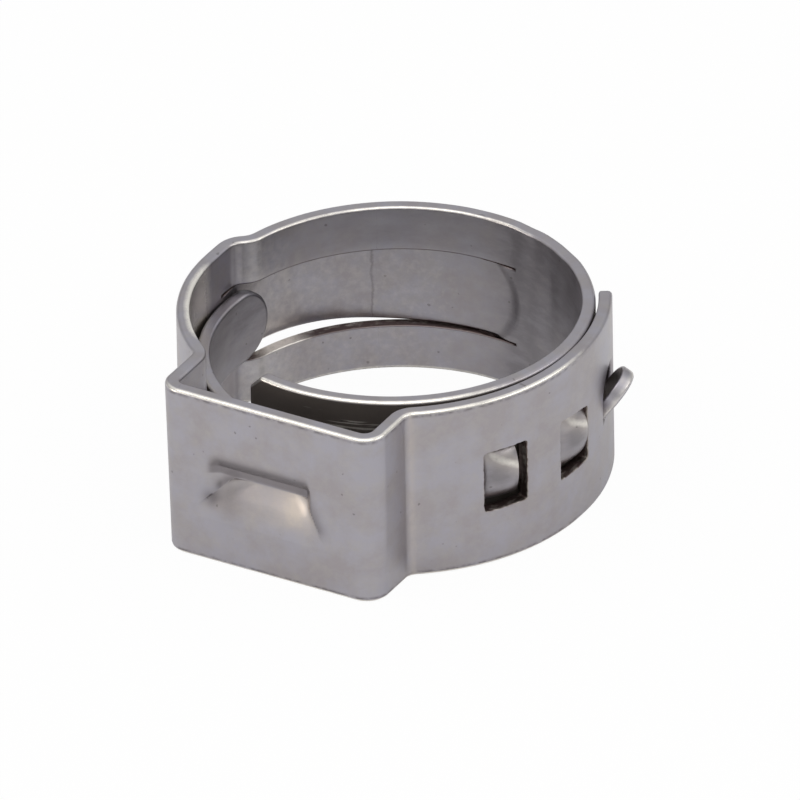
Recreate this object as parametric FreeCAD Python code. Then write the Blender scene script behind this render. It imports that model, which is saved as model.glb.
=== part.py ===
import FreeCAD, Part
import math
import os
from FreeCAD import Vector

# Ear hose clamp made from one strip of stainless steel.
#
# The strip starts at its free end as the outer layer, runs clockwise (seen from
# above) to the ear, goes round the ear, runs on as a pocket beside the ear, steps
# down to the bore and makes one whole turn. It ends in a narrow tongue that lies
# under the ear and reaches into a channel pressed out of the ring behind the step.
# Two hooks of the inner layer stand in two windows of the outer layer, and a half
# round flap is bent out of the outer layer near its free end.
#
# Frame: Z is the axis of the hose, the ear points to -Y, and the origin is on that
# axis in the plane of the lower band edge. Angles run from +X counter-clockwise.
# Lengths are in millimetres and angles in degrees.

# The strip
BORE_RADIUS = 8.9
THICKNESS = 0.6
BAND_WIDTH = 9.0
EDGE_BREAK = 0.14

# The outer layer and the pocket beside the ear
LAYER_GAP = 0.15
LAYER_SHIFT = 0.45
FLARE_RADIUS = 10.8
FREE_END_ANGLE = 34.5

# The ear
EAR_REACH = 12.2
EAR_WIDTH = 11.9
EAR_OFFSET = -0.22
EAR_CORNER = 0.55
NECK_BEND = 0.7

# The step down to the bore
STEP_ANGLE = 165.0
STEP_BEND = 1.2

# The tongue and the shoulder that it grows from
TONGUE_WIDTH = 3.7
TONGUE_END_ANGLE = -196.8
SHOULDER_ANGLE = -107.5
SHOULDER_CHAMFER = 0.75

# The channel that the tongue slides into, with its panel pressed outwards
CHANNEL_WIDTH = 4.2
CHANNEL_END_ANGLE = 80.0
CHANNEL_CORNER = 0.5
PANEL_BEND = 7.0
PANEL_RAMP_RADIUS = 12.0
SHEAR_GAP = 0.05

# The windows of the outer layer and the hooks of the inner one
HOOK_COUNT = 2
WINDOW_PITCH = 26.0
FIRST_WINDOW_ANGLE = -30.5
WINDOW_LENGTH = 2.35
WINDOW_HEIGHT = 3.2
WINDOW_CORNER = 0.15
HOOK_PITCH = 27.2
HOOK_WIDTH = 2.5
HOOK_LENGTH = 1.85
HOOK_WALL = 0.4
HOOK_ROUND = 0.65
HOOK_CLEARANCE = 0.08
HOOK_SLOT = 0.35

# The half round flap bent out of the outer layer, hinged along its lower side
FLAP_CENTRE = 3.75
FLAP_HINGE_HEIGHT = 3.9
FLAP_WIDTH = 2.5
FLAP_LENGTH = 2.1
FLAP_LIFT = 36.0
FLAP_GAP = 0.06

# The dimple pressed into the face of the ear, steep above and flat below
DIMPLE_LENGTH = 6.0
DIMPLE_HEIGHT = 2.9
DIMPLE_STEEP_SHARE = 0.25
DIMPLE_DEPTH = 0.75
DIMPLE_OFFSET = -0.45
DIMPLE_TOP = 5.5
DIMPLE_SOFTNESS = 0.3

# Sizes that follow from the ones above
HALF = THICKNESS / 2
RING_RADIUS = BORE_RADIUS + HALF
RING_OUTSIDE = BORE_RADIUS + THICKNESS
LAYER_INSIDE = RING_OUTSIDE + LAYER_GAP
LAYER_RADIUS = LAYER_INSIDE + HALF
LAYER_OUTSIDE = LAYER_INSIDE + THICKNESS
MID_HEIGHT = BAND_WIDTH / 2
FLARE_CENTRE = Vector(LAYER_RADIUS - FLARE_RADIUS, 0, 0)
TOLERANCE = 1e-6
ORIGIN = Vector(0, 0, 0)
UP = Vector(0, 0, 1)


def polar(radius, angle, height=0.0):
    """Point at a radius and an angle round the hose axis."""
    turn = math.radians(angle)
    return Vector(radius * math.cos(turn), radius * math.sin(turn), height)


def angle_of(point):
    """Angle of a point round the hose axis."""
    return math.degrees(math.atan2(point.y, point.x))


class StripPath:
    """Centre line of the strip seen from above, made of tangent pieces."""

    def __init__(self):
        self.pieces = []

    def line(self, start, end):
        """Add a straight from start to end."""
        self.pieces.append(("line", start, end))

    def arc(self, centre, radius, start_angle, end_angle):
        """Add an arc that runs from one angle round its centre to another."""
        self.pieces.append(("arc", centre, radius, start_angle, end_angle))

    def side(self, offset):
        """Edges of the path moved to its left by an offset."""
        edges = []
        for piece in self.pieces:
            if piece[0] == "line":
                edges.append(self.side_of_line(piece, offset))
            else:
                edges.append(self.side_of_arc(piece, offset))
        return edges

    def side_of_line(self, piece, offset):
        """One straight, moved to its left."""
        start, end = piece[1], piece[2]
        along = (end - start).normalize()
        left = Vector(-along.y, along.x, 0) * offset
        return Part.LineSegment(start + left, end + left).toShape()

    def side_of_arc(self, piece, offset):
        """One arc, moved to its left."""
        centre, radius, start_angle, end_angle = piece[1:]
        clockwise = end_angle < start_angle
        side_radius = radius + offset if clockwise else radius - offset
        middle_angle = (start_angle + end_angle) / 2
        points = [centre + polar(side_radius, a) for a in (start_angle, middle_angle, end_angle)]
        return Part.Arc(*points).toShape()

    def strip(self, low, high):
        """Solid of the strip between two heights."""
        left = self.side(HALF)
        right = self.side(-HALF)
        caps = [
            Part.LineSegment(left[0].firstVertex(True).Point, right[0].firstVertex(True).Point).toShape(),
            Part.LineSegment(left[-1].lastVertex(True).Point, right[-1].lastVertex(True).Point).toShape(),
        ]
        outline = Part.Wire(Part.__sortEdges__(left + right + caps))
        face = Part.Face(outline)
        face.translate(Vector(0, 0, low))
        return face.extrude(Vector(0, 0, high - low))


def add_outer_layer(path):
    """Free end, flare and outer layer, as far as the neck on the right."""
    flare_end = math.degrees(LAYER_RADIUS * math.radians(FREE_END_ANGLE) / FLARE_RADIUS)
    path.arc(FLARE_CENTRE, FLARE_RADIUS, flare_end, 0)
    path.line(Vector(LAYER_RADIUS, 0, 0), Vector(LAYER_RADIUS, -LAYER_SHIFT, 0))


def add_ear(path):
    """Necks, legs and face of the ear, with the layer arcs that lead to them."""
    shift = Vector(0, -LAYER_SHIFT, 0)
    neck_radius = NECK_BEND + HALF
    corner_radius = EAR_CORNER + HALF
    right_x = EAR_OFFSET + EAR_WIDTH / 2 - HALF
    left_x = EAR_OFFSET - EAR_WIDTH / 2 + HALF
    right_neck = neck_centre(shift, right_x + neck_radius)
    left_neck = neck_centre(shift, left_x - neck_radius)
    right_angle = angle_of(right_neck - shift)
    left_angle = angle_of(left_neck - shift)
    face_y = HALF - EAR_REACH
    corner_y = face_y + corner_radius
    right_corner = Vector(right_x - corner_radius, corner_y, 0)
    left_corner = Vector(left_x + corner_radius, corner_y, 0)

    path.arc(shift, LAYER_RADIUS, 0, right_angle)
    path.arc(right_neck, neck_radius, 180 + right_angle, 180)
    path.line(Vector(right_x, right_neck.y, 0), Vector(right_x, corner_y, 0))
    path.arc(right_corner, corner_radius, 0, -90)
    path.line(Vector(right_corner.x, face_y, 0), Vector(left_corner.x, face_y, 0))
    path.arc(left_corner, corner_radius, -90, -180)
    path.line(Vector(left_x, corner_y, 0), Vector(left_x, left_neck.y, 0))
    path.arc(left_neck, neck_radius, 0, 180 + left_angle)
    path.arc(shift, LAYER_RADIUS, left_angle, -180)


def neck_centre(layer_centre, x):
    """Centre of the bend between the layer and a leg of the ear."""
    reach = LAYER_RADIUS + NECK_BEND + HALF
    return Vector(x, layer_centre.y - math.sqrt(reach ** 2 - x ** 2), 0)


def add_step(path):
    """Pocket end and S-shaped step down to the bore."""
    path.line(Vector(-LAYER_RADIUS, -LAYER_SHIFT, 0), Vector(-LAYER_RADIUS, 0, 0))
    high = LAYER_RADIUS - STEP_BEND
    low = RING_RADIUS + STEP_BEND
    span = (high ** 2 + low ** 2 - (2 * STEP_BEND) ** 2) / (2 * high * low)
    start_angle = STEP_ANGLE + math.degrees(math.acos(span))
    high_centre = polar(high, start_angle)
    low_centre = polar(low, STEP_ANGLE)
    crossing = angle_of(low_centre - high_centre)
    path.arc(ORIGIN, LAYER_RADIUS, 180, start_angle)
    path.arc(high_centre, STEP_BEND, start_angle, crossing)
    path.arc(low_centre, STEP_BEND, crossing - 180, STEP_ANGLE - 180)


def strip_path():
    """The full-width strip from its free end to the shoulder."""
    path = StripPath()
    add_outer_layer(path)
    add_ear(path)
    add_step(path)
    path.arc(ORIGIN, RING_RADIUS, STEP_ANGLE, SHOULDER_ANGLE)
    return path


def ring_sector(inner, outer, start_angle, end_angle, low, high):
    """Part of a hollow cylinder round the hose axis."""
    base = Vector(0, 0, low)
    outside = Part.makeCylinder(outer, high - low, base, UP, end_angle - start_angle)
    inside = Part.makeCylinder(inner, high - low, base, UP)
    sector = outside.cut(inside)
    sector.rotate(ORIGIN, UP, start_angle)
    return sector


def radial_block(angle, start, length, inner, outer, width):
    """Block at an angle of the ring, from a start along the tangent, at mid height."""
    block = Part.makeBox(outer - inner, length, width, Vector(inner, start, MID_HEIGHT - width / 2))
    block.rotate(ORIGIN, UP, angle)
    return block


def edges_along(shape, direction):
    """Straight edges of a shape that run along a direction."""
    found = []
    for edge in shape.Edges:
        if isinstance(edge.Curve, Part.Line) and abs(abs(edge.Curve.Direction * direction) - 1) < TOLERANCE:
            found.append(edge)
    return found


def break_long_edges(solid, low, high):
    """Take the sharpness off the edges that lie in the two planes that bound the strip's width."""
    long_edges = []
    for edge in solid.Edges:
        heights = [vertex.Z for vertex in edge.Vertexes]
        for level in (low, high):
            if all(abs(height - level) < TOLERANCE for height in heights):
                long_edges.append(edge)
    return solid.makeChamfer(EDGE_BREAK, long_edges)


def tongue():
    """Narrow end of the strip, with a round tip."""
    low = MID_HEIGHT - TONGUE_WIDTH / 2
    high = MID_HEIGHT + TONGUE_WIDTH / 2
    tip_radius = TONGUE_WIDTH / 2
    tip_sweep = math.degrees(tip_radius / RING_RADIUS)
    round_start = TONGUE_END_ANGLE + tip_sweep
    straight = ring_sector(BORE_RADIUS, RING_OUTSIDE, round_start, SHOULDER_ANGLE, low, high)
    tip = ring_sector(BORE_RADIUS, RING_OUTSIDE, TONGUE_END_ANGLE - tip_sweep, round_start, low, high)
    punch = Part.makeCylinder(tip_radius, LAYER_OUTSIDE, Vector(0, 0, MID_HEIGHT), polar(1, round_start))
    return straight.fuse(tip.common(punch)).removeSplitter()


def shoulder_corners():
    """Corners cut off the full width where the tongue begins."""
    corners = []
    inner = polar(BORE_RADIUS - THICKNESS, SHOULDER_ANGLE)
    tangent = polar(1, SHOULDER_ANGLE + 90) * SHOULDER_CHAMFER
    for level, side in ((0, 1), (BAND_WIDTH, -1)):
        corner = inner + Vector(0, 0, level)
        rise = Vector(0, 0, side * SHOULDER_CHAMFER)
        outline = Part.makePolygon([corner, corner + tangent, corner + rise, corner])
        corners.append(Part.Face(outline).extrude(polar(2 * THICKNESS, SHOULDER_ANGLE)))
    return corners


def channel_punch(width):
    """Tool that cuts the channel, or trims the panel, to a width."""
    inner = BORE_RADIUS - THICKNESS
    outer = LAYER_OUTSIDE + 2 * THICKNESS
    low = MID_HEIGHT - width / 2
    end_length = 2 * CHANNEL_CORNER
    overlap = (CHANNEL_CORNER + end_length) / 2
    end = radial_block(CHANNEL_END_ANGLE, 0, end_length, inner, outer, width)
    tangent = polar(1, CHANNEL_END_ANGLE + 90)
    corners = edges_along(end, polar(1, CHANNEL_END_ANGLE))
    corners = [edge for edge in corners if edge.CenterOfMass * tangent < CHANNEL_CORNER]
    end = end.makeFillet(CHANNEL_CORNER, corners)
    overlap_angle = CHANNEL_END_ANGLE + math.degrees(overlap / RING_RADIUS)
    return end.fuse(ring_sector(inner, outer, overlap_angle, 180, low, low + width))


def channel_panel():
    """Middle of the strip, sheared from the rails and pressed outwards."""
    ramp_centre = polar(RING_RADIUS - PANEL_RAMP_RADIUS, CHANNEL_END_ANGLE)
    bend_x = PANEL_BEND - LAYER_RADIUS
    between = PANEL_RAMP_RADIUS - PANEL_BEND
    bend_y = ramp_centre.y + math.sqrt(between ** 2 - (bend_x - ramp_centre.x) ** 2)
    bend_centre = Vector(bend_x, bend_y, 0)
    meeting = angle_of(bend_centre - ramp_centre)
    path = StripPath()
    path.line(Vector(-LAYER_RADIUS, 0, 0), Vector(-LAYER_RADIUS, bend_y, 0))
    path.arc(bend_centre, PANEL_BEND, 180, meeting)
    path.arc(ramp_centre, PANEL_RAMP_RADIUS, meeting, CHANNEL_END_ANGLE)
    panel_width = CHANNEL_WIDTH - 2 * SHEAR_GAP
    return path.strip(0, BAND_WIDTH).common(channel_punch(panel_width))


def window(angle):
    """Tool for one window of the outer layer."""
    inner = RING_OUTSIDE + LAYER_GAP / 2
    outer = LAYER_OUTSIDE + THICKNESS
    tool = radial_block(angle, -WINDOW_LENGTH / 2, WINDOW_LENGTH, inner, outer, WINDOW_HEIGHT)
    return tool.makeFillet(WINDOW_CORNER, edges_along(tool, polar(1, angle)))


def hook(angle):
    """Half dome pressed out of the inner layer, with a sheared mouth."""
    start = HOOK_CLEARANCE - WINDOW_LENGTH / 2
    dome = radial_block(angle, start, HOOK_LENGTH, RING_RADIUS, LAYER_OUTSIDE, HOOK_WIDTH)
    return soften_dome(dome, angle, LAYER_OUTSIDE, start, HOOK_ROUND)


def hook_hollow(angle):
    """Space under one hook, open to the bore and at the mouth."""
    start = HOOK_CLEARANCE - WINDOW_LENGTH / 2 + HOOK_WALL
    length = HOOK_LENGTH - HOOK_WALL
    top = LAYER_OUTSIDE - HOOK_WALL
    width = HOOK_WIDTH - 2 * HOOK_WALL
    space = radial_block(angle, start, length, BORE_RADIUS - THICKNESS, top, width)
    space = soften_dome(space, angle, top, start, HOOK_ROUND - HOOK_WALL)
    slot = radial_block(angle, start + length, HOOK_SLOT, BORE_RADIUS - THICKNESS, LAYER_INSIDE, HOOK_WIDTH)
    return space.fuse(slot)


def soften_dome(block, angle, top, start, radius):
    """Round the crown edges of a block, all but the one at the mouth."""
    outward = polar(1, angle)
    tangent = polar(1, angle + 90)
    crown = []
    for edge in block.Edges:
        centre = edge.CenterOfMass
        on_top = abs(centre * outward - top) < TOLERANCE
        at_mouth = centre * tangent > start + TOLERANCE and len(edges_along(edge, UP)) == 1
        if on_top and not at_mouth:
            crown.append(edge)
    return block.makeFillet(radius, crown)


def flap_frame():
    """Hinge point of the flap on the outer face, with its outward and sideways directions."""
    angle = math.degrees(math.asin(FLAP_CENTRE / FLARE_RADIUS))
    outward = polar(1, angle)
    hinge = FLARE_CENTRE + outward * (FLARE_RADIUS + HALF) + UP * FLAP_HINGE_HEIGHT
    return hinge, outward, polar(1, angle + 90)


def flap_outline(root, along, side, below, spare):
    """Half round outline of the flap, from below its root, grown by some spare."""
    reach = FLAP_WIDTH / 2 + spare
    low = root - along * below
    shoulder = root + along * (FLAP_LENGTH - FLAP_WIDTH / 2)
    edges = [
        Part.LineSegment(low - side * reach, shoulder - side * reach).toShape(),
        Part.Arc(shoulder - side * reach, shoulder + along * reach, shoulder + side * reach).toShape(),
        Part.LineSegment(shoulder + side * reach, low + side * reach).toShape(),
        Part.LineSegment(low + side * reach, low - side * reach).toShape(),
    ]
    return Part.Face(Part.Wire(edges))


def flap_hole():
    """Tool for the hole that the flap leaves in the outer layer."""
    hinge, outward, side = flap_frame()
    outline = flap_outline(hinge, UP, side, 0, FLAP_GAP)
    outline.translate(outward * -(THICKNESS + LAYER_GAP / 2))
    return outline.extrude(outward * (2 * THICKNESS))


def flap():
    """Flap bent outwards round its hinge, as a part of a cone cut to its outline."""
    hinge, outward, side = flap_frame()
    lift = math.radians(FLAP_LIFT)
    along = UP * math.cos(lift) + outward * math.sin(lift)
    facing = outward * math.cos(lift) - UP * math.sin(lift)
    tip = hinge + along * (2 * FLAP_LENGTH)
    inner_root = hinge - outward * THICKNESS
    inner_bend = inner_root + UP * (THICKNESS * math.tan(lift / 2))
    section = Part.makePolygon([hinge, tip, tip - facing * THICKNESS, inner_bend, inner_root, hinge])
    sweep = math.degrees(FLAP_WIDTH / FLARE_RADIUS)
    shell = Part.Face(section)
    shell.rotate(FLARE_CENTRE, UP, -sweep)
    shell = shell.revolve(FLARE_CENTRE, UP, 2 * sweep)
    blank = flap_outline(hinge, along, side, THICKNESS, 0)
    blank.translate(facing * -(2 * THICKNESS))
    return shell.common(blank.extrude(facing * (3 * THICKNESS)))


def dimple_form(wall, rim_y):
    """Wedge of the dimple, grown by a wall, with its rim in a plane of the ear's face."""
    top = DIMPLE_TOP + wall
    bottom = DIMPLE_TOP - DIMPLE_HEIGHT - wall
    outer_y = rim_y - HALF / 2
    valley_z = DIMPLE_TOP - DIMPLE_STEEP_SHARE * DIMPLE_HEIGHT
    valley = Vector(0, DIMPLE_DEPTH + wall - EAR_REACH, valley_z)
    length = DIMPLE_LENGTH + 2 * wall
    corners = [
        Vector(0, outer_y, top),
        Vector(0, rim_y, top),
        valley,
        Vector(0, rim_y, bottom),
        Vector(0, outer_y, bottom),
    ]
    profile = Part.Face(Part.makePolygon(corners + corners[:1]))
    profile.translate(Vector(DIMPLE_OFFSET - length / 2, 0, 0))
    form = profile.extrude(Vector(length, 0, 0))
    inner_edges = [edge for edge in form.Edges if edge.CenterOfMass.y > rim_y + TOLERANCE]
    return form.makeFillet(DIMPLE_SOFTNESS, inner_edges)


def dimple_recess():
    """Space of the dimple in the outer face of the ear."""
    return dimple_form(0, -EAR_REACH)


def dimple_back():
    """Metal that stands out behind the dimple, inside the ear."""
    return dimple_form(HALF, HALF - EAR_REACH)


def main():
    """Build the clamp and write its one solid."""
    os.makedirs("parts", exist_ok=True)
    band = break_long_edges(strip_path().strip(0, BAND_WIDTH), 0, BAND_WIDTH)
    for corner in shoulder_corners():
        band = band.cut(corner)
    band = band.cut(channel_punch(CHANNEL_WIDTH)).fuse(channel_panel()).fuse(tongue())
    for number in range(HOOK_COUNT):
        window_angle = FIRST_WINDOW_ANGLE + number * WINDOW_PITCH
        hook_angle = FIRST_WINDOW_ANGLE + number * HOOK_PITCH
        band = band.cut(window(window_angle)).fuse(hook(hook_angle)).cut(hook_hollow(hook_angle))
    band = band.cut(flap_hole()).fuse(flap())
    band = band.fuse(dimple_back()).cut(dimple_recess())
    band.exportStep("parts/clamp_band.step")


main()
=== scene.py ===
"""Looks of an ear hose clamp: one steel strip with a boxy ear, hooks, a flap and a tongue.

The strip is drawn flat, with all its cut lines, and then bent. A point of the flat strip has a
place along the strip, a height above its lower edge and a depth from its middle plane. "Points" of
the flat strip are rows of place and height. Sizes are in millimetres and angles in degrees until
the mesh is made, which is in metres.
"""

import logging
import math
from dataclasses import dataclass, field
from enum import Enum

import bpy
import numpy as np
from mathutils import Matrix, Vector
from mathutils.geometry import delaunay_2d_cdt


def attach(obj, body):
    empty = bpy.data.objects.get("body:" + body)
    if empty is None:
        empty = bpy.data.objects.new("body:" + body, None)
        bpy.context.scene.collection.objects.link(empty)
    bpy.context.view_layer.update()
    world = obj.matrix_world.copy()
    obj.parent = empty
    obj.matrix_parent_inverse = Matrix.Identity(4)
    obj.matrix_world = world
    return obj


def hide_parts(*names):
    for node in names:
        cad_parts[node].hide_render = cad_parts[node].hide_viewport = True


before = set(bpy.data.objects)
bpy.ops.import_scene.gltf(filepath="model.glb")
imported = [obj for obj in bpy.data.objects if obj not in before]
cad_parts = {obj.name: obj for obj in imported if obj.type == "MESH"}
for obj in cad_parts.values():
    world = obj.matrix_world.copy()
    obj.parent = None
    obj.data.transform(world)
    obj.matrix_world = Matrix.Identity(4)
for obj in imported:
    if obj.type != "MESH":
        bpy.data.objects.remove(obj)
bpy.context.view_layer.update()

MM = 0.001
NODE = "clamp_band"
BODY = "root"
WHITE = (1.0, 1.0, 1.0, 1.0)
LOG = logging.getLogger("ear_clamp")

# Lowest and highest place, lowest and highest height, and the spacing of mesh points there.
Area = tuple[float, float, float, float, float]


class Zone(Enum):
    """Which bend a point of the flat strip follows."""

    BAND = 0
    PANEL = 1
    FLAP = 2


class Edge(Enum):
    """How an edge of the strip was made."""

    TUMBLED = "tumbled"
    SHEARED = "sheared"


def smooth_rise(value: np.ndarray) -> np.ndarray:
    """Smooth step from 0 to 1 while the value goes from 0 to 1."""
    held = np.clip(value, 0.0, 1.0)
    return held * held * (3.0 - 2.0 * held)


def round_rise(value: np.ndarray) -> np.ndarray:
    """Quarter circle from 0 to 1 while the value goes from 0 to 1."""
    held = np.clip(value, 0.0, 1.0)
    return np.sqrt(1.0 - (1.0 - held) ** 2)


def bell(away: np.ndarray, size: float) -> np.ndarray:
    """Bell curve of a distance, 1 in its middle."""
    return np.exp(-(away / size) ** 2)


def polar(radius: float, angle: float) -> np.ndarray:
    """Point seen from above at a radius and an angle round the hose axis."""
    turn = math.radians(angle)
    return np.array([radius * math.cos(turn), radius * math.sin(turn)])


def angle_of(point: np.ndarray) -> float:
    """Angle of a point seen from above round the hose axis."""
    return math.degrees(math.atan2(point[1], point[0]))


def towards(azimuth: float, elevation: float) -> Vector:
    """Direction from the clamp towards a viewer or a lamp.

    Args:
        azimuth: angle round the clamp from the front, to the right.
        elevation: angle above the table.

    Returns:
        The unit direction.
    """
    turn, rise = math.radians(azimuth), math.radians(elevation)
    level = math.cos(rise)
    return Vector((math.sin(turn) * level, -math.cos(turn) * level, math.sin(rise)))


def placed(name: str, data: bpy.types.ID) -> bpy.types.Object:
    """Put a new object into the scene.

    Args:
        name: name of the object.
        data: its mesh, light or camera.

    Returns:
        The object.
    """
    thing = bpy.data.objects.new(name, data)
    bpy.context.scene.collection.objects.link(thing)
    return thing


@dataclass(frozen=True)
class Wave:
    """Wave in the metal: its strength, and how fast it turns along the strip and up it."""

    strength: float
    along: float
    up: float

    def at(self, place: np.ndarray, height: np.ndarray) -> np.ndarray:
        """Values of the wave at places and heights."""
        return self.strength * np.sin(place * self.along + height * self.up)


@dataclass(frozen=True)
class StripSizes:
    """Driving sizes of the strip and of the line that it is bent to."""

    bore_radius: float = 8.9
    thickness: float = 0.6
    width: float = 9.0
    layer_gap: float = 0.15
    layer_shift: float = 0.45
    flare_radius: float = 10.8
    free_end_angle: float = 34.5
    ear_reach: float = 12.2
    ear_width: float = 11.9
    ear_offset: float = -0.22
    ear_corner: float = 0.55
    neck_bend: float = 0.7
    step_angle: float = 165.0
    step_bend: float = 1.2
    shoulder_angle: float = -107.5
    tongue_end_angle: float = -196.8

    @property
    def half(self) -> float:
        """Half of the strip's thickness."""
        return self.thickness / 2

    @property
    def middle(self) -> float:
        """Height of the middle of the strip."""
        return self.width / 2

    @property
    def ring_radius(self) -> float:
        """Radius of the middle of the strip where it lies on the hose."""
        return self.bore_radius + self.half

    @property
    def layer_radius(self) -> float:
        """Radius of the middle of the outer layer."""
        return self.ring_radius + self.thickness + self.layer_gap

    @property
    def hook_height(self) -> float:
        """How far a hook stands out to lie flush with the outer layer."""
        return self.thickness + self.layer_gap


@dataclass(frozen=True)
class Straight:
    """Straight piece of a bend line."""

    start: float
    origin: np.ndarray
    along: np.ndarray
    length: float

    def at(self, run: np.ndarray) -> tuple[np.ndarray, np.ndarray]:
        """Places along the piece.

        Args:
            run: distances from the piece's start.

        Returns:
            The points and the directions to the left of the line.
        """
        points = self.origin + run[:, None] * self.along
        left = np.array([-self.along[1], self.along[0]])
        return points, np.repeat(left[None, :], len(run), axis=0)


@dataclass(frozen=True)
class Bend:
    """Arc of a bend line, clockwise when its turn is negative."""

    start: float
    centre: np.ndarray
    radius: float
    start_angle: float
    turn: float

    @property
    def length(self) -> float:
        """Length of the arc."""
        return self.radius * abs(math.radians(self.turn))

    def at(self, run: np.ndarray) -> tuple[np.ndarray, np.ndarray]:
        """Places along the piece.

        Args:
            run: distances from the piece's start.

        Returns:
            The points and the directions to the left of the line.
        """
        way = math.copysign(1.0, self.turn)
        angle = math.radians(self.start_angle) + way * run / self.radius
        outward = np.stack([np.cos(angle), np.sin(angle)], axis=1)
        return self.centre + outward * self.radius, outward * -way


class BendLine:
    """Middle line of the strip seen from above, made of tangent straights and arcs."""

    widest_step = 0.36
    turn_step = 6.0
    search_steps = 2001

    def __init__(self) -> None:
        """Start an empty line."""
        self.pieces: list[Straight | Bend] = []
        self.length = 0.0

    def straight(self, start: np.ndarray, end: np.ndarray) -> None:
        """Add a straight between two points.

        Args:
            start: its first point.
            end: its last point.
        """
        length = float(np.linalg.norm(end - start))
        self.pieces.append(Straight(self.length, start, (end - start) / length, length))
        self.length += length

    def arc(self, centre: np.ndarray, radius: float, start_angle: float, end_angle: float) -> None:
        """Add an arc, clockwise when its angle falls.

        Args:
            centre: its centre.
            radius: its radius.
            start_angle: angle round the centre at which it starts.
            end_angle: angle at which it ends.
        """
        piece = Bend(self.length, centre, radius, start_angle, end_angle - start_angle)
        self.pieces.append(piece)
        self.length += piece.length

    def at(self, place: np.ndarray) -> tuple[np.ndarray, np.ndarray]:
        """Places along the whole line.

        Args:
            place: distances from the line's start.

        Returns:
            The points and the directions to the left of the line.
        """
        starts = np.array([piece.start for piece in self.pieces])
        index = np.clip(np.searchsorted(starts, place, side="right") - 1, 0, len(starts) - 1)
        points = np.zeros((len(place), 2))
        left = np.zeros((len(place), 2))
        for number, piece in enumerate(self.pieces):
            chosen = index == number
            if chosen.any():
                points[chosen], left[chosen] = piece.at(place[chosen] - piece.start)
        return points, left

    def columns(self) -> np.ndarray:
        """Columns of a mesh along the line.

        Returns:
            The places, closer together where the line is bent.
        """
        found = []
        for piece in self.pieces:
            step = self.widest_step
            if isinstance(piece, Bend):
                step = min(step, piece.radius * math.radians(self.turn_step))
            count = max(1, math.ceil(piece.length / step))
            found.extend(piece.start + piece.length * np.arange(count) / count)
        return np.array(found + [self.length])

    def place_at_angle(self, angle: float, low: float, high: float) -> float:
        """Place where the line passes an angle round the hose axis.

        Args:
            angle: the angle.
            low: start of the stretch that is searched.
            high: its end.

        Returns:
            The place.
        """
        places = np.linspace(low, high, self.search_steps)
        points, _ = self.at(places)
        turns = np.unwrap(np.arctan2(points[:, 1], points[:, 0]))
        goal = math.radians(angle)
        goal += 2 * math.pi * round((turns.mean() - goal) / (2 * math.pi))
        return float(places[np.argmin(np.abs(turns - goal))])


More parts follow.
